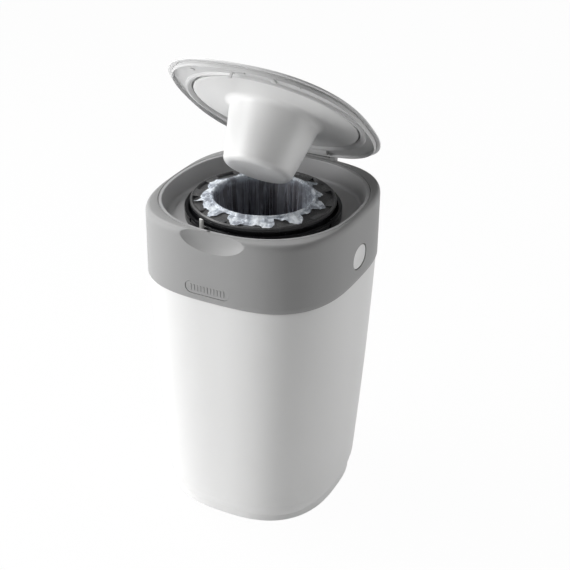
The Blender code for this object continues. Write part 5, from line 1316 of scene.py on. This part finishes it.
def film_map(piece, crumple):
    """The map and the attribute that the film's material reads."""
    data = piece.data
    layer = data.uv_layers.new(name="film")
    for loop in data.loops:
        point = data.vertices[loop.vertex_index].co
        way_round = math.atan2(point.y - AXIS_Y, point.x) / (2 * math.pi) + 0.5
        layer.data[loop.index].uv = (way_round, point.z * 8)
    milky = data.attributes.new("milky", "FLOAT", "POINT")
    milky.data.foreach_set("value", [crumple] * len(data.vertices))


def end_knot():
    low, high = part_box("film_knot")
    centre, half = (low + high) / 2, (high - low) / 2
    mesh = bmesh.new()
    bmesh.ops.create_uvsphere(mesh, u_segments=48, v_segments=32, radius=1)
    for vertex in mesh.verts:
        way = vertex.co.copy()
        twist = math.atan2(way.y, way.x) * 3 + way.z * 4
        size = 0.93 - 0.10 * abs(math.sin(twist)) - 0.06 * abs(noise.noise(way * 4))
        vertex.co = centre + Vector((way.x * half.x, way.y * half.y, way.z * half.z)) * size
    piece = object_from("end_knot", mesh)
    film_map(piece, 0.8)
    return seat(piece, FILM, "cassette", "film_knot")


packed_film()
end_knot()

# %% [markdown]
# ## Lid
#
# The lid is drawn in its closed place and then swung open by the angle that the joint's
# range gives. It is a thin, slightly domed shell with a crisp edge, a barrel for the hinge
# and a round hole for the dial. A lining closes its underside round the plunger's plate,
# with a raised ring at its inner edge, snap joints near the front and a ridge at the hinge.

# %% The lid's place and sizes
OPENED = -math.radians(hinge["range_deg"][0])
SWING = Matrix.Translation(HINGE) @ Matrix.Rotation(-OPENED, 4, "X") @ Matrix.Translation(-HINGE)
LID_BOTTOM = 0.4054
LID_EDGE_THICK = 0.0024
LID_TOP_EDGE = LID_BOTTOM + LID_EDGE_THICK
LID_RISE = 0.005
LID_WALL = 0.002
LID_BAND = 0.0045
LID_HOLE_RADIUS = 0.049
PLATE_RADIUS = 0.0995
PLATE_GAP = 0.002
LINER_DROP = 0.0014
LINER_HEIGHT = 0.0018
RING_RISE = 0.0030
RING_OUTER = 0.1090
RING_INNER = 0.1048
LUG_LID_CLEAR = 0.0018
LINING_LOW = LID_BOTTOM - LINER_DROP


def lid_height(share):
    """Height of the lid's outer face, from its edge at 0 to the dial's hole at 1."""
    return LID_TOP_EDGE + LID_RISE * (1 - (1 - share) ** 2)


# %% Lid shell with its hinge barrel
def lid_cover():
    bottom = LID_BOTTOM
    edge = [(grown(LID, amount), height) for amount, height in (
        (-0.0008, bottom), (-0.00025, bottom + 0.0002), (0, bottom + 0.0008), (0, LID_TOP_EDGE - 0.0008),
        (-0.0002, LID_TOP_EDGE - 0.0004), (-0.0008, LID_TOP_EDGE - 0.0001))]
    near_edge, hole, band = grown(LID, -0.0024), circle(LID_HOLE_RADIUS), grown(LID, -LID_BAND)
    shares = [step / 16 for step in range(17)]
    top = [(between(near_edge, hole, share), lid_height(share)) for share in shares]
    under = [(between(band, hole, share), lid_height(share) - LID_WALL) for share in shares]
    under[0] = (band, LID_TOP_EDGE - LID_WALL + CLEAR)
    foot = [(band, bottom + 0.0003), (grown(band, 0.0003), bottom)]
    piece = skin("lid_cover", edge + top + under[::-1] + foot)
    arm = bmesh.new()
    arm_in = LID[3] + LID[1] - LID_BAND + CLEAR
    block(arm, (CLEAR - BARREL_HALF, arm_in, bottom - CLEAR), (BARREL_HALF - CLEAR, HINGE.y, LID_TOP_EDGE))
    boolean(piece, arm, "UNION")
    barrel = bmesh.new()
    rod(barrel, (-BARREL_HALF, HINGE.y, HINGE.z), (BARREL_HALF, HINGE.y, HINGE.z), BARREL_RADIUS)
    boolean(piece, barrel, "UNION")
    cuts = bmesh.new()
    start = BARREL_HALF + CLEAR / 2
    end = BARREL_HALF + WASHER_THICK + LUG_THICK + LUG_LID_CLEAR + 2 * CLEAR
    reach = LUG_HALF_DEPTH + LUG_LID_CLEAR
    for side in (-1, 1):
        ends = sorted((side * start, side * end))
        block(cuts, (ends[0], HINGE.y - reach, bottom - 2 * CUT_SPARE),
              (ends[1], HINGE.y + LUG_HALF_DEPTH + CUT_SPARE, LID_TOP_EDGE + LID_RISE + CUT_SPARE))
    bore_half = BARREL_HALF + CUT_SPARE / 4
    rod(cuts, (-bore_half, HINGE.y, HINGE.z), (bore_half, HINGE.y, HINGE.z), PIN_RADIUS + CLEAR)
    boolean(piece, cuts, "DIFFERENCE")
    piece.data.transform(SWING)
    return seat(piece, LID_PALE, "lid", "lid_shell")


lid_cover()


# %% Lining, gasket and catch
def lid_lining():
    outer, rebate = grown(LID, -LID_BAND - CLEAR), grown(LID, -0.0084)
    low, high = LINING_LOW, LINING_LOW + LINER_HEIGHT
    inner, crest = PLATE_RADIUS + PLATE_GAP, low - RING_RISE
    rings = [(outer, high), (outer, low + 0.0004), (grown(outer, -0.0004), low), (rebate, low),
             (between(rebate, circle(RING_OUTER), 0.5), low)]
    rings += [(circle(radius), height) for radius, height in (
        (RING_OUTER, low), (RING_OUTER - 0.0008, crest + 0.0008), (RING_OUTER - 0.0012, crest + 0.0002),
        (RING_OUTER - 0.0020, crest), (RING_INNER + 0.0008, crest), (RING_INNER, crest + 0.0004),
        (inner + 0.0006, low - 0.0002), (inner, low + 0.0003), (inner, high))]
    return seat(skin("lid_lining", rings, place=SWING), LID_PALE, "lid", "lid_liner")


SEAL_INSET = 0.0046
SEAL_WIDTH = 0.003
SEAL_HEIGHT = 0.0032
CATCH_FOOT = 0.0015
CATCH_LENGTH = 0.0085
CATCH_HALF_DEPTH = 0.0008
CATCH_HALF_WIDTH = 0.0013


def gasket():
    top = LINING_LOW - CLEAR
    middle, tip = -SEAL_INSET - SEAL_WIDTH / 2, top - SEAL_HEIGHT
    profile = softened([(-SEAL_INSET - SEAL_WIDTH, top), (-SEAL_INSET, top), (middle + 0.0004, tip, 0.0004),
                        (middle - 0.0004, tip, 0.0004)])
    return seat(object_from("lid_gasket", loft(profile, LID), SWING), SEAL_RUBBER, "lid", "lid_seal")


def snap_catch():
    middle = SLOT_FRONT - SLOT_DEPTH / 2
    top = LINING_LOW - CLEAR
    foot, tip = top - CATCH_FOOT, top - CATCH_LENGTH
    side = softened([
        (middle - 0.002, top), (middle + 0.004, top), (middle + 0.004, foot, 0.0004),
        (middle + CATCH_HALF_DEPTH, foot, 0.0005), (middle + CATCH_HALF_DEPTH, tip, 0.0005),
        (middle - CATCH_HALF_DEPTH, tip, 0.0005), (middle - CATCH_HALF_DEPTH, foot, 0.0005),
        (middle - 0.002, foot, 0.0004)])
    mesh = bmesh.new()
    slab(mesh, side, CATCH_X - CATCH_HALF_WIDTH, CATCH_X + CATCH_HALF_WIDTH)
    return seat(object_from("snap_catch", mesh, SWING), LID_PALE, "lid", "lid_catch")


CLIPS = [    # middle, half size along X and along Y, and how far the clip stands out
    (-0.0015, -0.1215, 0.0085, 0.0022, 0.0022), (0.0380, -0.1140, 0.0032, 0.0060, 0.0022),
    (0.0650, -0.1040, 0.0022, 0.0022, 0.0014), (0.1095, -0.0010, 0.0013, 0.0013, 0.0014),
    (-0.0650, -0.1040, 0.0022, 0.0022, 0.0014), (-0.1095, -0.0010, 0.0013, 0.0013, 0.0014)]
SLIT_START, SLIT_END = (-0.041, -0.1195), (-0.012, -0.1235)


def lid_clips():
    """Snap joints that hold the lining, and a thin rib beside them."""
    top = LINING_LOW + CLEAR
    mesh = bmesh.new()
    for x, y, half_x, half_y, proud in CLIPS:
        rings = []
        for inset, height in ((0, top), (0, top - proud * 0.7), (0.0004, top - proud)):
            along_x, along_y = half_x - inset, half_y - inset
            rings.append([Vector((x + a * along_x, y + b * along_y, height))
                          for a, b in ((-1, -1), (1, -1), (1, 1), (-1, 1))])
        fill_rings(mesh, rings, closed=False)
    rod(mesh, (*SLIT_START, top - CLEAR), (*SLIT_END, top - CLEAR), 0.0004, 10)
    return seat(object_from("lid_clips", mesh, SWING), LID_PALE, "lid")


HINGE_RIDGE_HALF = 0.0280
HINGE_RIDGE_RADIUS = 0.0065
HINGE_RIDGE_CENTRE = (0.1130, 0.4062)


def hinge_ridge():
    """A rounded ridge that stiffens the lid in front of its barrel."""
    spread = math.degrees(math.acos((HINGE_RIDGE_CENTRE[1] - LINING_LOW) / HINGE_RIDGE_RADIUS))
    side = arc(HINGE_RIDGE_CENTRE, HINGE_RIDGE_RADIUS, -90 - spread, -90 + spread, 28)
    mesh = bmesh.new()
    slab(mesh, side, -HINGE_RIDGE_HALF, HINGE_RIDGE_HALF)
    return seat(object_from("hinge_ridge", mesh, SWING), LID_PALE, "lid")


lid_lining()
gasket()
snap_catch()
lid_clips()
hinge_ridge()

# %% [markdown]
# ## Plunger
#
# The plunger is one turned part: a hollow cup with a soft flat tip, a wall that widens
# slightly upwards, and a trumpet that flows into a wide round plate. Because it is turned,
# it is a profile of a few arcs carried round the cassette's axis.

# %% Plunger
PLUNGER_BOTTOM = LID_BOTTOM - 0.0754
PLATE_LOW = LID_BOTTOM - 0.0024
PLATE_THICK_ROUND = 0.0019
CUP_TOP_RADIUS = 0.053
CUP_TIP_RADIUS = 0.042
CUP_TIP_ROUND = 0.0085
CUP_WALL = 0.0022
FLARE_RADIUS = 0.0095
FLARE_DROP = 0.0008
SHELF_Z = 0.3972
SHELF_RADIUS = 0.033
SHELF_DROP = 0.0032
PLATE_EDGE = 0.0006
PLATE_RUN = 8


def plunger_cup():
    tip_middle = CUP_TIP_RADIUS - CUP_TIP_ROUND
    tip = arc((tip_middle, PLUNGER_BOTTOM + CUP_TIP_ROUND), CUP_TIP_ROUND, -90, 0, 12)
    centre = (CUP_TOP_RADIUS + FLARE_RADIUS, PLATE_LOW - FLARE_DROP - FLARE_RADIUS)
    trumpet = arc(centre, FLARE_RADIUS, 180, 90, 20)
    run = [(centre[0] + (PLATE_RADIUS - PLATE_EDGE - centre[0]) * step / PLATE_RUN,
            PLATE_LOW - FLARE_DROP * (1 - step / PLATE_RUN) ** 2) for step in range(1, PLATE_RUN + 1)]
    rim = [(PLATE_RADIUS - 0.0002, PLATE_LOW + 0.0002), (PLATE_RADIUS, PLATE_LOW + PLATE_EDGE),
           (PLATE_RADIUS, PLATE_LOW + PLATE_THICK_ROUND)]
    near_top, shelf_low = CUP_TOP_RADIUS - CUP_WALL, SHELF_Z - SHELF_DROP
    inner_flare = arc(centre, FLARE_RADIUS + CUP_WALL, 90, 180, 20)
    inside = [point for point in inner_flare if point[1] > SHELF_Z + CLEAR]
    inside += [(near_top, SHELF_Z), (SHELF_RADIUS, SHELF_Z), (SHELF_RADIUS, shelf_low),
               (near_top - CLEAR, shelf_low), (CUP_TIP_RADIUS - CUP_WALL, PLUNGER_BOTTOM + CUP_TIP_ROUND),
               (tip_middle - CUP_WALL, PLUNGER_BOTTOM + CUP_WALL)]
    piece = object_from("plunger_cup", loft(tip + trumpet + run + rim + inside, closed=False), SWING)
    return seat(piece, LID_WHITE, "dial", "plunger", "plunger_neck", "plunger_plate")


plunger_cup()

# %% [markdown]
# ## Twist dial
#
# On top of the lid a dial turns the plunger and, through it, the film. It is a shallow bowl
# with a bar across it to hold. It runs in a bearing that is set in the lid's hole.

# %% Twist dial and its bearing
DIAL_FLANGE_RADIUS = 0.056
DIAL_FLANGE_THICK = 0.0019
DIAL_BODY_RADIUS = 0.0465
DIAL_WALL = 0.0035
DIAL_FLOOR = 0.0022
DIAL_LOW = SHELF_Z + CLEAR
DIAL_FLOOR_TOP = DIAL_LOW + DIAL_FLOOR
DIAL_BAR_HALF = 0.006
BUSH_FLANGE = 0.003
BUSH_THICK = 0.0018
dial_top = lid_height(1) + CLEAR + DIAL_FLANGE_THICK


def dial_cap():
    flange_low = lid_height(1) + CLEAR
    bowl = DIAL_BODY_RADIUS - DIAL_WALL
    profile = softened([
        (DIAL_BODY_RADIUS - 0.002, DIAL_LOW), (DIAL_BODY_RADIUS, DIAL_LOW + 0.002, 0.0008),
        (DIAL_BODY_RADIUS, flange_low), (DIAL_FLANGE_RADIUS, flange_low, 0.0004),
        (DIAL_FLANGE_RADIUS, dial_top, 0.0011), (bowl, dial_top, 0.0012),
        (bowl - 0.001, DIAL_FLOOR_TOP, 0.003), (0.004, DIAL_FLOOR_TOP)], closed=False)
    piece = object_from("dial_cap", loft(profile, closed=False))
    half, reach = DIAL_BAR_HALF, DIAL_BODY_RADIUS - DIAL_WALL / 2
    top = dial_top - 0.0005
    side = softened([(AXIS_Y - half, DIAL_FLOOR_TOP - DIAL_FLOOR / 2), (AXIS_Y - half, top, 0.0018),
                     (AXIS_Y + half, top, 0.0018), (AXIS_Y + half, DIAL_FLOOR_TOP - DIAL_FLOOR / 2)])
    bar = bmesh.new()
    slab(bar, side, -reach, reach)
    boolean(piece, bar, "UNION")
    piece.data.transform(SWING)
    return seat(piece, GREY, "dial", "twist_dial")


def dial_bush():
    inner, outer = DIAL_BODY_RADIUS + 2 * CLEAR, LID_HOLE_RADIUS - CLEAR
    flange, flange_top = outer + BUSH_FLANGE, lid_height(1) - LID_WALL - CLEAR
    flange_low = flange_top - BUSH_THICK
    profile = [(inner, lid_height(1)), (outer, lid_height(1)), (outer, flange_top),
               (flange, flange_top - CLEAR), (flange, flange_low), (inner, flange_low)]
    return seat(object_from("dial_bush", loft(profile), SWING), LID_WHITE, "lid", "dial_bearing")


dial_cap()
dial_bush()

# %% [markdown]
# ## Screws and foot pads
#
# Screws repeat, so a Geometry Nodes tree makes them: a flat head with a cross recess and a
# plain shaft, set on each point of a small mesh and turned by one input. The foot pads are
# low turned discs, and each takes the number of the imported pad that it stands for.

# %% A tree that sets a screw on every point
def screw_tree():
    tree, given = new_tree("screws", [
        ("Points", "Geometry", None), ("Head radius", "Float", 0.003), ("Head thickness", "Float", 0.0013),
        ("Shaft radius", "Float", 0.0013), ("Shaft length", "Float", 0.01), ("Turn", "Vector", None),
        ("Finish", "Material", None)])

    def times(label, factor):
        return maths(tree, "MULTIPLY", given[label], factor)

    def at_height(mesh, height):
        return moved(tree, mesh, translation=along(tree, "Z", height))

    def cylinder(sides, part, size, share):
        made = node(tree, "GeometryNodeMeshCylinder",
                    {"Vertices": sides, "Radius": given[part + " radius"], "Depth": given[size]})
        return at_height(made.outputs["Mesh"], times(size, share))

    head = cylinder(32, "Head", "Head thickness", -0.5)
    shaft = cylinder(20, "Shaft", "Shaft length", 0.49)
    joined = node(tree, "GeometryNodeMeshBoolean", {"Mesh 2": [head, shaft]}, operation="UNION")
    arms = []
    for wide, deep in ((1.2, 0.28), (0.28, 1.2)):
        sizes = {"X": times("Head radius", wide), "Y": times("Head radius", deep),
                 "Z": times("Head thickness", 1.2)}
        size = node(tree, "ShaderNodeCombineXYZ", sizes)
        arm = node(tree, "GeometryNodeMeshCube", {"Size": size.outputs["Vector"]})
        arms.append(at_height(arm.outputs["Mesh"], times("Head thickness", -1.0)))
    recess = node(tree, "GeometryNodeMeshBoolean", {"Mesh 1": joined.outputs["Mesh"], "Mesh 2": arms},
                  operation="DIFFERENCE")
    turn = node(tree, "FunctionNodeEulerToRotation", {"Euler": given["Turn"]})
    return set_on_points(tree, given["Points"], recess.outputs["Mesh"], turn.outputs["Rotation"],
                         given["Finish"])


# %% The screws of the base, the unit and the dial
SCREWS = screw_tree()
UNIT_SCREW_ANGLES = (45.0, 135.0, 215.0, 315.0)
UNIT_SCREW_RADIUS = 0.099
DIAL_SCREW_ANGLES = (90.0, 210.0, 330.0)
DIAL_SCREW_RADIUS = 0.0375
unit_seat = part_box("unit_screw_1")[0].z + SCREW_HEAD_THICK


def screws(name, points, length, turn, body, stands_for):
    """Screws on these points, each standing for a packed one with a number."""
    mesh = bmesh.new()
    for point in points:
        mesh.verts.new(point)
    piece = from_tree(name, SCREWS, mesh, Head_radius=SCREW_HEAD_RADIUS, Head_thickness=SCREW_HEAD_THICK,
                      Shaft_radius=SCREW_RADIUS, Shaft_length=length, Turn=turn, Finish=STEEL)
    return seat(piece, STEEL, body, *(f"{stands_for}_{number}" for number in range(1, len(points) + 1)))


base_points = [(x * BASE_SCREW_X, y * BASE_SCREW_Y, HEAD_SEAT) for x, y in FOUR_CORNERS]
screws("base_fixings", base_points, 0.0145, (0, 0, 0), "tub", "base_screw")
unit_points = [turned(angle) @ Vector((UNIT_SCREW_RADIUS, 0, unit_seat)) for angle in UNIT_SCREW_ANGLES]
screws("unit_fixings", unit_points, 0.0095, (0, 0, 0), "upper_unit", "unit_screw")
dial_points = [SWING @ turned(angle) @ Vector((DIAL_SCREW_RADIUS, 0, DIAL_FLOOR_TOP + CLEAR))
               for angle in DIAL_SCREW_ANGLES]
screws("dial_fixings", dial_points, 0.0045, (math.pi - OPENED, 0, 0), "dial", "dial_screw")


# %% Foot pads
def foot_pad(number, x, y):
    profile = softened([(0.001, 0), (PAD_RADIUS, 0, 0.0006), (PAD_RADIUS, pad_high.z, 0.0002),
                        (0.001, pad_high.z)], closed=False)
    mesh = loft(profile, closed=False, sides=64)
    place = Matrix.Translation((x, y - AXIS_Y, 0))
    return seat(object_from(f"rubber_pad_{number}", mesh, place), RUBBER, "tub", f"foot_pad_{number}")


for number, (side_x, side_y) in enumerate(FOUR_CORNERS, 1):
    foot_pad(number, side_x * PAD_X, side_y * PAD_Y)

# %% [markdown]
# ## Inner works
#
# The well, the jaws, their pins and springs, the cutter and the latch tongues lie inside.
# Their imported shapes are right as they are, so they only take their materials.

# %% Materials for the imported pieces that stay
INNER_FINISHES = {
    "cassette_well": GREY, "latch_tongue_left": GREY, "latch_tongue_right": GREY,
    "jaw_1": GREY, "jaw_2": GREY, "jaw_3": GREY, "cutter_guard": WHITE, "cutter_blade": STEEL,
    "hinge_pin": STEEL, "pawl_pin": STEEL, "hinge_washer_left": STEEL, "hinge_washer_right": STEEL,
}
for number in (1, 2, 3):
    INNER_FINISHES[f"jaw_pin_{number}"] = STEEL
    INNER_FINISHES[f"jaw_spring_{number}"] = STEEL
for node_name, finish in INNER_FINISHES.items():
    packed = frame["nodes"][node_name]
    packed.data.materials.clear()
    packed.data.materials.append(finish)
print(len(INNER_FINISHES), "packed pieces keep their shapes")

# %% [markdown]
# ## Stage, camera and light
#
# The picture was taken from the front right, a little above the rim, with a long lens. Two
# large soft lamps stand left and right of the camera's line, so that the corner between the
# front and the side stays in a soft shade, and a third one hangs over the lid. The floor is
# pale and keeps the bin's shadow. The camera and reflections see it, and the world, as white.

# %% Camera
CAMERA_PLACE = Vector((0.6142, -1.2084, 1.0129))
CAMERA_RIGHT = Vector((0.8965, 0.4428, 0.0127))
CAMERA_UP = Vector((-0.2213, 0.4230, 0.8787))
CAMERA_LENS = 80.0
SENSOR_WIDTH = 36.0
camera_data = bpy.data.cameras.new("camera")
camera_data.lens, camera_data.sensor_width = CAMERA_LENS, SENSOR_WIDTH
camera = bpy.data.objects.new("camera", camera_data)
bpy.context.scene.collection.objects.link(camera)
back = CAMERA_RIGHT.cross(CAMERA_UP).normalized()
turn = Matrix((CAMERA_RIGHT, CAMERA_UP, back)).transposed().to_4x4()
camera.matrix_world = Matrix.Translation(CAMERA_PLACE) @ turn
bpy.context.scene.camera = camera
print("camera", round(CAMERA_PLACE.length, 3), "m from the origin")

# %% Floor
FLOOR_RADIUS = 9
FLOOR_DROP = 0.0002
FLOOR_WHITE_SHARE = 0.975
floor_mesh = bmesh.new()
bmesh.ops.create_circle(floor_mesh, cap_ends=True, segments=96, radius=FLOOR_RADIUS)
floor = object_from("floor", floor_mesh)
floor.location.z = -FLOOR_DROP
FLOOR, tree, shader = new_material("pale_floor", "floor")
for label, value in (("Base Color", (0.90, 0.90, 0.90, 1)), ("Roughness", 0.9), ("Specular IOR Level", 0.1)):
    shader.inputs[label].default_value = value
glow = node(tree, "ShaderNodeEmission", {"Strength": 1.0})
path = node(tree, "ShaderNodeLightPath").outputs
seen = maths(tree, "MAXIMUM", path["Is Camera Ray"], path["Is Glossy Ray"])
seen = maths(tree, "MAXIMUM", seen, path["Is Transmission Ray"])
blend = node(tree, "ShaderNodeMixShader", {"Fac": maths(tree, "MULTIPLY", seen, FLOOR_WHITE_SHARE),
                                           1: shader.outputs["BSDF"], 2: glow.outputs["Emission"]})
tree.links.new(blend.outputs["Shader"], tree.nodes["Material Output"].inputs["Surface"])
floor.data.materials.append(FLOOR)


# %% Lamps and world
AMBIENT = 0.13          # strength of the world as the object sees it


def soft_lamp(name, place, aim, size, power):
    data = bpy.data.lights.new(name, "AREA")
    data.shape = "RECTANGLE"
    data.size, data.size_y = size
    data.energy = power
    lamp = bpy.data.objects.new(name, data)
    bpy.context.scene.collection.objects.link(lamp)
    lamp.location = place
    lamp.rotation_mode = "QUATERNION"
    lamp.rotation_quaternion = (Vector(aim) - Vector(place)).to_track_quat("-Z", "Y")
    print(name, "at", place, "with", power, "W")


for name, place, aim_height, size, power in (
        ("left_window", (-1.42, -1.14, 0.75), 0.25, (1.0, 1.6), 29.5),
        ("right_fill", (1.75, 0.70, 0.5), 0.25, (0.9, 1.6), 10.5),
        ("top_soft", (-1.1, 0.05, 1.7), 0.3, (0.9, 0.9), 22.0)):
    soft_lamp(name, place, (0, 0, aim_height), size, power)
world = bpy.data.worlds.new("studio")
bpy.context.scene.world = world
world.use_nodes = True
sky = world.node_tree.nodes["Background"]
sky.inputs["Color"].default_value = (1, 1, 1, 1)
path = node(world.node_tree, "ShaderNodeLightPath").outputs
lifted = maths(world.node_tree, "MULTIPLY", path["Is Camera Ray"], 1 - AMBIENT)
world.node_tree.links.new(maths(world.node_tree, "ADD", lifted, AMBIENT), sky.inputs["Strength"])
bpy.context.scene.view_settings.view_transform = "Standard"
